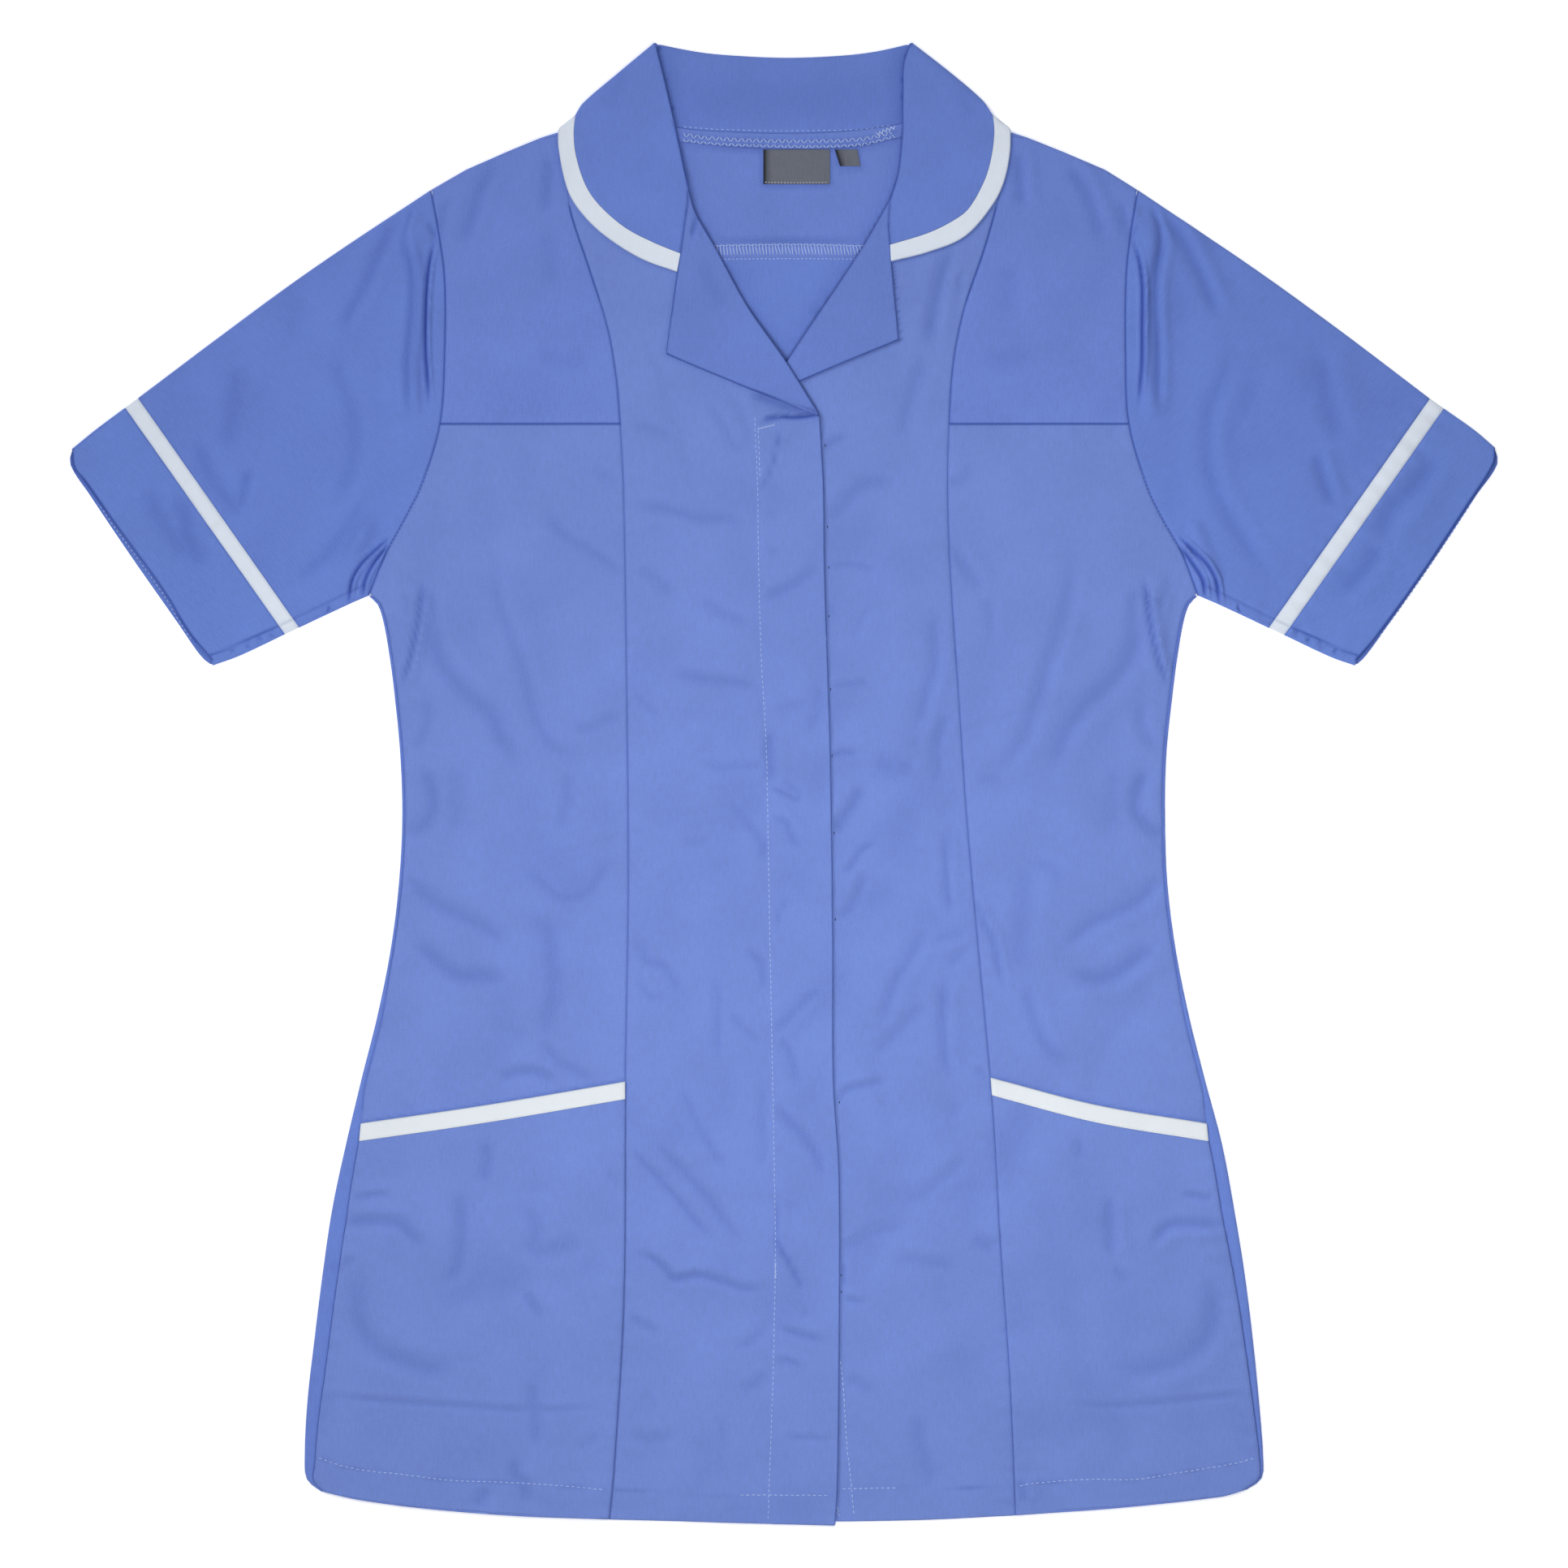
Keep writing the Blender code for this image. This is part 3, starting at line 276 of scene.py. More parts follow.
# %% [markdown]
# ## Sizes of the cloth and its layers
#
# The cloth is thin, but a laid garment is a stack: back, front, then collar, lapels and pockets.
# Every height below is that of the middle of a layer, and the folds join one layer to the next.

# %% Driving sizes
WALL = 0.7                   # thickness of the cloth that shows
HALF_WALL = 0.5              # a fold's middle lies this far inside the outline, as in the solids
SEAM = 0.12                  # space between two pieces at a seam
LAYER = 1.4
BACK = 0.5
FRONT = BACK + 1.5
HALF_TURN = 0.5 * (FRONT - BACK)
LAPEL_TURN = 0.5 * LAYER
ROLL_TURN = 0.5 * LAYER
ROLL_DEPTH = ROLL_TURN + HALF_WALL
FALL_TURN = HALF_TURN + LAYER
FOLD_MIDDLE = BACK + FALL_TURN
LIP = 0.35
RIM = 0.18                   # rounding of a cut edge
TURNS = np.linspace(-0.5 * math.pi, 0.5 * math.pi, 11)       # angles round a fold, bottom to top
STEP = 2.0                   # usual spacing of points on the cloth
EDGE_STEPS = (0.6, 1.3, 2.3)           # closer spacing beside a seam, for its ditch

# %% [markdown]
# ## Outlines
#
# These are the edges of the laid garment in millimetres, each side of the front measured on its
# own. They are the same lines that the solids were cut from, so each shell lies where its
# solid is.

# %% Outlines
SHAPE = {
    "l": {
        "neck_point": (-92.6, 365.0),
        "shoulder": ((-191.2, 321.9), (-172.3, 332.9), (-151.0, 342.2), (-131.0, 350.3),
                     (-120.5, 353.6), (-92.6, 365.0)),
        "panel_seam": ((-122.5, 352.2), (-118.1, 335.1), (-115.9, 311.7), (-105.8, 280.1),
                       (-95.7, 247.9), (-90.9, 220.7), (-88.7, 195.1), (-86.9, 161.3),
                       (-85.1, 51.3), (-84.3, -58.7), (-86.0, -165.7), (-86.9, -278.7),
                       (-92.2, -369.8), (-94.8, -398.0)),
        "armhole": ((-191.2, 321.9), (-186.8, 297.7), (-183.8, 274.0), (-183.7, 234.3),
                    (-186.3, 195.1), (-196.0, 162.6), (-205.3, 143.7), (-216.3, 123.4),
                    (-225.0, 102.0)),
        "side": ((-225.0, 102.0), (-220.4, 97.5), (-217.2, 88.0), (-213.8, 68.9), (-211.5, 51.3),
                 (-208.1, 16.1), (-207.0, -19.1), (-208.8, -54.3), (-213.2, -89.5),
                 (-220.2, -124.7), (-229.0, -159.9), (-237.4, -195.1), (-244.9, -230.3),
                 (-250.1, -265.5), (-254.5, -300.7), (-258.5, -335.9), (-259.8, -366.0),
                 (-258.6, -376.5), (-251.0, -383.0)),
        "hem": ((-251.0, -383.0), (-229.5, -387.4), (-192.5, -392.3), (-142.8, -396.2),
                (-94.8, -398.4)),
        "hem_middle": ((-94.8, -398.4), (-28.8, -399.7), (27.5, -401.1)),
        "opening": ((19.1, 200.2), (20.0, 184.1), (21.3, 159.5), (21.8, 119.0), (23.1, 72.8),
                    (24.9, 15.6), (26.2, -80.7), (26.6, -159.9), (29.7, -212.7), (29.7, -306.0),
                    (28.8, -376.9), (27.5, -401.1)),
        "neckline": ((-92.6, 365.0), (-84.0, 350.0), (-71.0, 336.0), (-55.6, 325.2)),
        "roll": ((-69.3, 401.1), (-64.0, 379.9), (-58.3, 354.9), (-51.7, 323.2)),
        "break_line": ((-51.7, 323.2), (-47.7, 309.5), (-37.2, 291.1), (-19.1, 258.1),
                       (1.1, 229.0), (19.1, 200.2)),
        "lapel_side": ((-52.8, 310.5), (-56.1, 287.1), (-57.6, 277.4), (-63.6, 233.0)),
        "lapel_foot": ((-63.6, 233.0), (-19.1, 214.1), (19.1, 200.2)),
        "gorge": ((-51.7, 323.2), (-52.1, 315.3), (-56.1, 287.1)),
        "shoulder_roll": ((-69.3, 401.1), (-90.4, 384.8), (-108.9, 368.9), (-112.8, 362.8)),
        "edging_inside": ((-112.8, 362.8), (-113.7, 352.2), (-112.4, 339.5), (-107.1, 323.6),
                          (-99.7, 313.1), (-86.0, 301.2), (-71.1, 293.3), (-56.1, 287.1)),
        "edging_outside": ((-121.9, 355.3), (-121.7, 343.9), (-116.8, 321.4), (-109.3, 309.1),
                           (-96.6, 296.8), (-77.2, 284.5), (-57.9, 277.4)),
        "overarm": ((-191.2, 321.9), (-254.1, 280.1), (-302.5, 244.9), (-350.0, 209.2)),
        "underarm": ((-225.0, 102.0), (-234.3, 97.9), (-262.5, 84.6)),
        "band_top": ((-350.0, 209.2), (-262.5, 84.6)),
        "band_foot": ((-357.0, 204.0), (-270.2, 81.0)),
        "cuff_over": ((-357.0, 204.0), (-372.9, 192.1), (-385.4, 181.8)),
        "cuff_under": ((-270.2, 81.0), (-295.0, 69.3), (-309.7, 64.0)),
        "cuff_back": ((-385.4, 181.8), (-386.9, 173.5), (-376.4, 156.9), (-352.7, 121.7),
                      (-328.0, 86.5), (-315.7, 68.9), (-309.7, 64.0)),
        "cuff_front": ((-385.4, 181.8), (-384.0, 171.2), (-378.2, 163.9), (-360.6, 138.8),
                       (-335.5, 104.1), (-322.0, 82.1), (-309.1, 66.5)),
        "pocket_top": ((-229.9, -184.1), (-160.8, -174.0), (-86.0, -161.3)),
    },
    "r": {
        "neck_point": (94.4, 365.0),
        "shoulder": ((191.6, 321.9), (174.0, 332.9), (152.0, 342.2), (131.5, 350.3),
                     (121.0, 353.6), (94.4, 365.0)),
        "panel_seam": ((122.5, 352.7), (116.8, 320.5), (108.9, 291.1), (97.5, 257.2),
                       (91.7, 227.7), (89.5, 195.6), (88.7, 161.3), (90.0, 117.3), (94.4, 51.3),
                       (98.8, -14.7), (104.5, -80.7), (110.7, -146.7), (114.2, -190.7),
                       (117.3, -247.9), (122.5, -322.7), (125.6, -395.8)),
        "armhole": ((191.6, 321.9), (187.7, 297.7), (185.3, 274.0), (185.0, 231.7),
                    (186.8, 195.1), (196.5, 161.3), (204.8, 143.7), (215.4, 125.0),
                    (224.2, 102.0)),
        "side": ((224.2, 102.0), (219.8, 97.5), (216.6, 88.0), (213.3, 68.9), (211.0, 51.3),
                 (207.3, 16.1), (206.6, -19.1), (207.9, -54.3), (212.3, -89.5), (219.3, -124.7),
                 (228.1, -159.9), (237.4, -195.1), (244.0, -230.3), (249.7, -265.5),
                 (254.1, -300.7), (257.6, -335.9), (259.8, -366.0), (258.9, -376.0),
                 (251.0, -382.0)),
        "hem": ((251.0, -382.0), (236.1, -385.7), (181.1, -391.8), (125.6, -395.8)),
        "hem_middle": ((125.6, -395.8), (71.1, -398.4), (-12.0, -399.5)),
        "opening": ((-16.0, 200.9), (-15.5, 160.0), (-13.0, 15.0), (-9.0, -215.0),
                    (-12.0, -399.5)),
        "neckline": ((94.4, 365.0), (89.0, 347.0), (77.0, 330.0), (60.6, 318.2)),
        "roll": ((68.4, 401.1), (64.5, 390.1), (64.0, 376.9), (63.6, 352.7), (61.4, 330.7),
                 (57.0, 316.1)),
        "break_line": ((57.0, 316.1), (39.8, 286.7), (1.1, 228.6), (-16.0, 200.9)),
        "lapel_side": ((56.5, 302.1), (57.4, 291.9), (57.9, 283.1), (61.8, 240.5)),
        "lapel_foot": ((61.8, 240.5), (32.8, 228.6), (8.1, 218.0), (-16.0, 200.9)),
        "gorge": ((57.0, 314.9), (56.5, 302.1), (57.4, 291.9)),
        "shoulder_roll": ((68.4, 401.1), (90.9, 384.8), (107.6, 370.3), (112.9, 362.8)),
        "edging_inside": ((112.9, 362.8), (113.7, 352.2), (112.0, 338.6), (108.5, 326.7),
                          (100.1, 311.7), (92.6, 305.6), (78.5, 298.5), (57.4, 291.9)),
        "edging_outside": ((122.3, 355.3), (122.1, 342.5), (119.0, 326.7), (112.9, 313.9),
                           (97.9, 296.8), (78.5, 288.4), (57.9, 283.1)),
        "overarm": ((191.6, 321.9), (253.7, 280.1), (302.5, 244.9), (350.0, 208.9)),
        "underarm": ((224.2, 102.0), (234.7, 97.5), (262.5, 84.4)),
        "band_top": ((350.0, 208.9), (262.5, 84.4)),
        "band_foot": ((357.6, 203.6), (270.9, 80.5)),
        "cuff_over": ((357.6, 203.6), (373.8, 192.1), (385.0, 182.4)),
        "cuff_under": ((270.9, 80.5), (296.8, 68.4), (309.5, 64.0)),
        "cuff_back": ((385.0, 182.4), (386.6, 173.5), (375.5, 156.9), (352.2, 121.7),
                      (327.6, 86.5), (314.8, 68.9), (309.5, 64.0)),
        "cuff_front": ((385.0, 182.4), (384.0, 173.5), (370.3, 151.6), (343.4, 111.1),
                       (320.0, 79.0), (309.0, 66.5)),
        "pocket_top": ((229.5, -184.1), (169.2, -174.0), (111.5, -159.1)),
    },
}
BACK_ROLL = ((-69.3, 401.1), (-46.4, 396.7), (-28.8, 394.9), (2.0, 393.6), (32.8, 394.9),
             (50.4, 397.1), (68.4, 401.1))
BACK_NECK_SEAM = ((-92.6, 365.0), (-57.0, 355.3), (-28.8, 353.0), (2.0, 352.2), (32.8, 353.3),
                  (63.6, 357.4), (94.4, 365.0))
NECK_TURNING_FOOT = ((-57.0, 347.8), (-28.8, 345.4), (2.0, 344.1), (32.8, 345.0), (63.6, 350.0))
HIDDEN_EDGING_INSIDE = ((-112.8, 362.8), (-60.0, 346.0), (2.0, 339.0), (60.0, 346.0),
                        (112.9, 362.8))
HIDDEN_EDGING_OUTSIDE = ((-121.9, 355.3), (-60.0, 335.0), (2.0, 328.5), (60.0, 335.0),
                         (122.3, 355.3))
SIDE_SEAM_INSET = (          # level, and how far the seam lies inside the fold, left and right
    (110.0, 1.8, 1.8), (-100.0, 1.8, 1.8), (-127.0, 3.2, 2.8), (-165.0, 3.0, 2.8),
    (-193.0, 7.0, 7.3), (-235.0, 9.2, 7.7), (-323.0, 8.4, 4.5), (-370.0, 6.0, 2.4),
    (-384.0, 1.8, 1.8),
)
NAPE = (0.0, 380.0)
INSIDE_COLLAR = (0.0, 330.0)
WAIST = (0.0, 0.0)
TOWARDS_MIDDLE = {"l": np.array((1.0, 0.0)), "r": np.array((-1.0, 0.0))}
BACK_SEAM_LEVEL = 286.0
CHEST_SEAM_LEVEL = 195.0
HANDS = ("l", "r")
print(sum(len(side) for side in SHAPE.values()), "outlines")

# %% [markdown]
# ## Lines of cloth
#
# A cutter draws a curve through a few marks. This helper does the same: it runs a smooth line
# through the marks and reads off points by their share of its length.


# %% Lines
def rounded(knots, pieces=12):
    """The knots joined by cubic spans whose ends point along their neighbours."""
    before = np.vstack([knots[:1], knots[:-1]])
    after = np.vstack([knots[1:], knots[-1:]])
    slopes = after - before
    slopes /= np.hypot(slopes[:, 0], slopes[:, 1])[:, None]
    t = (np.arange(pieces) / pieces)[:, None]
    dots = []
    for index in range(len(knots) - 1):
        start, end = knots[index], knots[index + 1]
        pull = math.dist(start, end)
        dots.append(
            start * (2 * t**3 - 3 * t**2 + 1) + slopes[index] * pull * (t**3 - 2 * t**2 + t)
            + end * (3 * t**2 - 2 * t**3) + slopes[index + 1] * pull * (t**3 - t**2)
        )
    return np.vstack([*dots, knots[-1:]])


class Line:
    """A line through a few marks, smooth unless it is straight, read by its share of length."""

    def __init__(self, marks, smooth=True, pieces=12):
        knots = np.array(marks, dtype=float)
        self.dots = rounded(knots, pieces) if smooth and len(knots) > 2 else knots
        steps = np.diff(self.dots, axis=0)
        self.reach = np.concatenate([[0.0], np.cumsum(np.hypot(steps[:, 0], steps[:, 1]))])
        self.long = self.reach[-1]

    def at(self, shares):
        """Points at shares of the length."""
        goals = np.clip(shares, 0.0, 1.0) * self.long
        return np.stack([np.interp(goals, self.reach, self.dots[:, axis]) for axis in (0, 1)], -1)

    def share(self, place, axis=1):
        """The share of the length at which x (axis 0) or y (axis 1) first comes to a place."""
        gaps = self.dots[:, axis] - place
        for index in np.flatnonzero(gaps[:-1] * gaps[1:] <= 0.0):
            if gaps[index] != gaps[index + 1]:
                part = gaps[index] / (gaps[index] - gaps[index + 1])
                reach = self.reach[index] + part * (self.reach[index + 1] - self.reach[index])
                return reach / self.long
        return 0.0 if abs(gaps[0]) < abs(gaps[-1]) else 1.0

    def part(self, start, end):
        """The stretch of the line between two shares, as points."""
        inside = (self.reach > start * self.long + 0.01) & (self.reach < end * self.long - 0.01)
        return np.vstack([self.at([start]), self.dots[inside], self.at([end])])


def spread(line, count, start=0.0, end=1.0):
    """Points spaced evenly between two shares of a line."""
    return line.at(np.linspace(start, end, count + 1))


def straight(*rows):
    """A Line that runs straight from mark to mark, through one row of marks or several."""
    return Line(np.vstack(rows), smooth=False)


def beyond(dots, gap=4.0):
    """The dots of a row that lie further than a gap from its first one."""
    return dots[np.hypot(*(dots - dots[0]).T) > gap]


def stations(length, step=STEP, corners=(), fine=()):
    """Shares of a length: close at its ends and corners, then even, with finer stretches."""
    marks = [0.0, *corners, 1.0]
    shares = []
    for start, end in zip(marks, marks[1:]):
        span = (end - start) * length
        near = [0.0, *(edge for edge in EDGE_STEPS if edge < 0.3 * span)]
        inner = span - 2.0 * near[-1]
        count = max(int(round(inner / step)), 1)
        even = near[-1] + inner * np.arange(1, count) / count
        places = np.concatenate([near, even, span - np.array(near[::-1])])
        shares.append(start + (end - start) * places[:-1] / span)
    shares = np.concatenate([*shares, [1.0]])
    for start, end, spacing in fine:
        inside = np.linspace(start, end, max(int(round((end - start) * length / spacing)), 1) + 1)
        margin = 0.4 * spacing / length
        outside = (shares < start - margin) | (shares > end + margin)
        shares = np.sort(np.concatenate([shares[outside], inside]))
    return shares


def inward(points, towards):
    """At each point of a line, the unit direction square to it on the side of a given point."""
    after = np.vstack([points[1:], points[-1:]])
    before = np.vstack([points[:1], points[:-1]])
    along = after - before
    square = np.stack([-along[:, 1], along[:, 0]], -1)
    square /= np.hypot(square[:, 0], square[:, 1])[:, None]
    faces = np.sum(square * (np.array(towards) - points), axis=1)
    return square * np.where(faces > 0.0, 1.0, -1.0)[:, None]


def pulled(point, inner, gap):
    """A point, or a row of points, moved towards its inner neighbour."""
    step = inner - point
    return point + step / np.linalg.norm(step, axis=-1, keepdims=True) * gap


def across(start, end, count):
    """Points on the straight line between two points."""
    share = np.linspace(0.0, 1.0, count + 1)[:, None]
    return np.asarray(start) * (1.0 - share) + np.asarray(end) * share


def fill(top, foot, left, right, u=None, v=None):
    """Rows of points that fill the space inside four rows of edge points."""
    u = np.linspace(0.0, 1.0, len(top)) if u is None else u
    v = np.linspace(0.0, 1.0, len(left)) if v is None else v
    u, v = u[None, :, None], v[:, None, None]
    upper = top[0] * (1 - u) + top[-1] * u
    lower = foot[0] * (1 - u) + foot[-1] * u
    return (top[None] * (1 - v) + foot[None] * v + left[:, None] * (1 - u) + right[:, None] * u
            - upper * (1 - v) - lower * v)


def trimmed(rows, left=0.0, right=0.0, top=0.0, foot=0.0):
    """The rows with their outer points pulled in, to leave half a seam's space."""
    rows = rows.copy()
    rows[:, 0], rows[:, -1] = (pulled(rows[:, 0], rows[:, 1], left),
                               pulled(rows[:, -1], rows[:, -2], right))
    rows[0], rows[-1] = pulled(rows[0], rows[1], top), pulled(rows[-1], rows[-2], foot)
    return rows


def panel(top, foot, left, right, step=STEP, corners_down=(), corners_across=(), fine_across=(),
          fine_down=()):
    """Plane points inside four Lines, closer together beside the seams."""
    u = stations(0.5 * (top.long + foot.long), step, corners_across, fine_across)
    v = stations(0.5 * (left.long + right.long), step, corners_down, fine_down)
    return fill(top.at(u), foot.at(u), left.at(v), right.at(v), u, v)


# %% [markdown]
# ## Shared lines
#
# Two pieces that are sewn together share one line, so their edges always meet.


# %% Seam lines
FAR_BELOW = (0.0, -900.0)
SLEEVE_SEAM_INSET = 6.0      # the sleeve's seam lies this far inside its lower fold
SIDE_START = 0.3             # the side fold starts just below the armhole


def seam_from(fold, hand):
    """The side seam on the front: the side fold moved in by the table's insets."""
    table = np.array(SIDE_SEAM_INSET)[::-1]
    inset = np.interp(fold[:, 1], table[:, 0], table[:, 1 if hand == "l" else 2])
    return fold + TOWARDS_MIDDLE[hand] * inset[:, None]


lines = {hand: {name: Line(marks) for name, marks in SHAPE[hand].items() if name != "neck_point"}
         for hand in HANDS}
for hand in HANDS:
    shape = lines[hand]
    for name in ("shoulder", "lapel_side", "lapel_foot", "gorge"):
        shape[name] = straight(SHAPE[hand][name])
    side = shape["side"]
    shape["side"] = straight(side.part(SIDE_START / side.long, 1.0))
    shape["side_seam"] = straight(seam_from(shape["side"].dots, hand))
    for name, edge in (("underarm_seam", "underarm"), ("cuff_seam", "cuff_under")):
        dots = shape[edge].dots
        shape[name] = straight(dots - inward(dots, FAR_BELOW) * SLEEVE_SEAM_INSET)
neck_back = Line(BACK_NECK_SEAM)
FLY_LINE = Line(((-15.6, 198.7), (-15.6, 191.6), (-14.3, 162.6), (-13.9, 128.3), (-13.0, 88.2),
                 (-11.7, 57.4), (-9.5, 18.7), (-9.0, -4.2), (-7.7, -80.7), (-5.1, -215.4),
                 (-4.6, -250.6), (-5.9, -320.1), (-8.1, -382.1), (-8.6, -399.7)))
for name in ("side", "armhole"):
    print(name, round(lines["l"][name].long), "mm")

# %% [markdown]
# ## How the cloth lies
#
# A laid garment is never flat. It has large folds, which the solids also have, and many small
# creases from being folded in a bag. Each crease is a soft trough with a raised lip on each side,
# drawn as a short line with its own depth and width. Seams sit in narrow ditches, and
# long low waves cover the rest.

# %% Large folds
FOLDS = (                    # from x, y to x, y, height of the ridge and half its width
    (-199, 300, -205, 205, 2.6, 12),
    (198, 300, 200, 205, 2.4, 9),
    (-227, 138, -238, 112, 2.2, 9),
    (223, 138, 233, 112, 1.4, 7),
    (-206, 108, -204, 60, 1.6, 11),
    (203, 108, 203, 60, 1.4, 8),
    (-165, 60, -100, 30, 1.0, 22),
    (-196, -40, -110, -75, 1.2, 22),
    (196, -32, 130, -62, 1.2, 22),
    (-60, 40, -40, -70, 1.0, 20),
    (-70, -255, -25, -275, 1.0, 20),
    (60, 120, 66, 20, 1.0, 20),
    (70, -150, 85, -250, 1.0, 20),
)

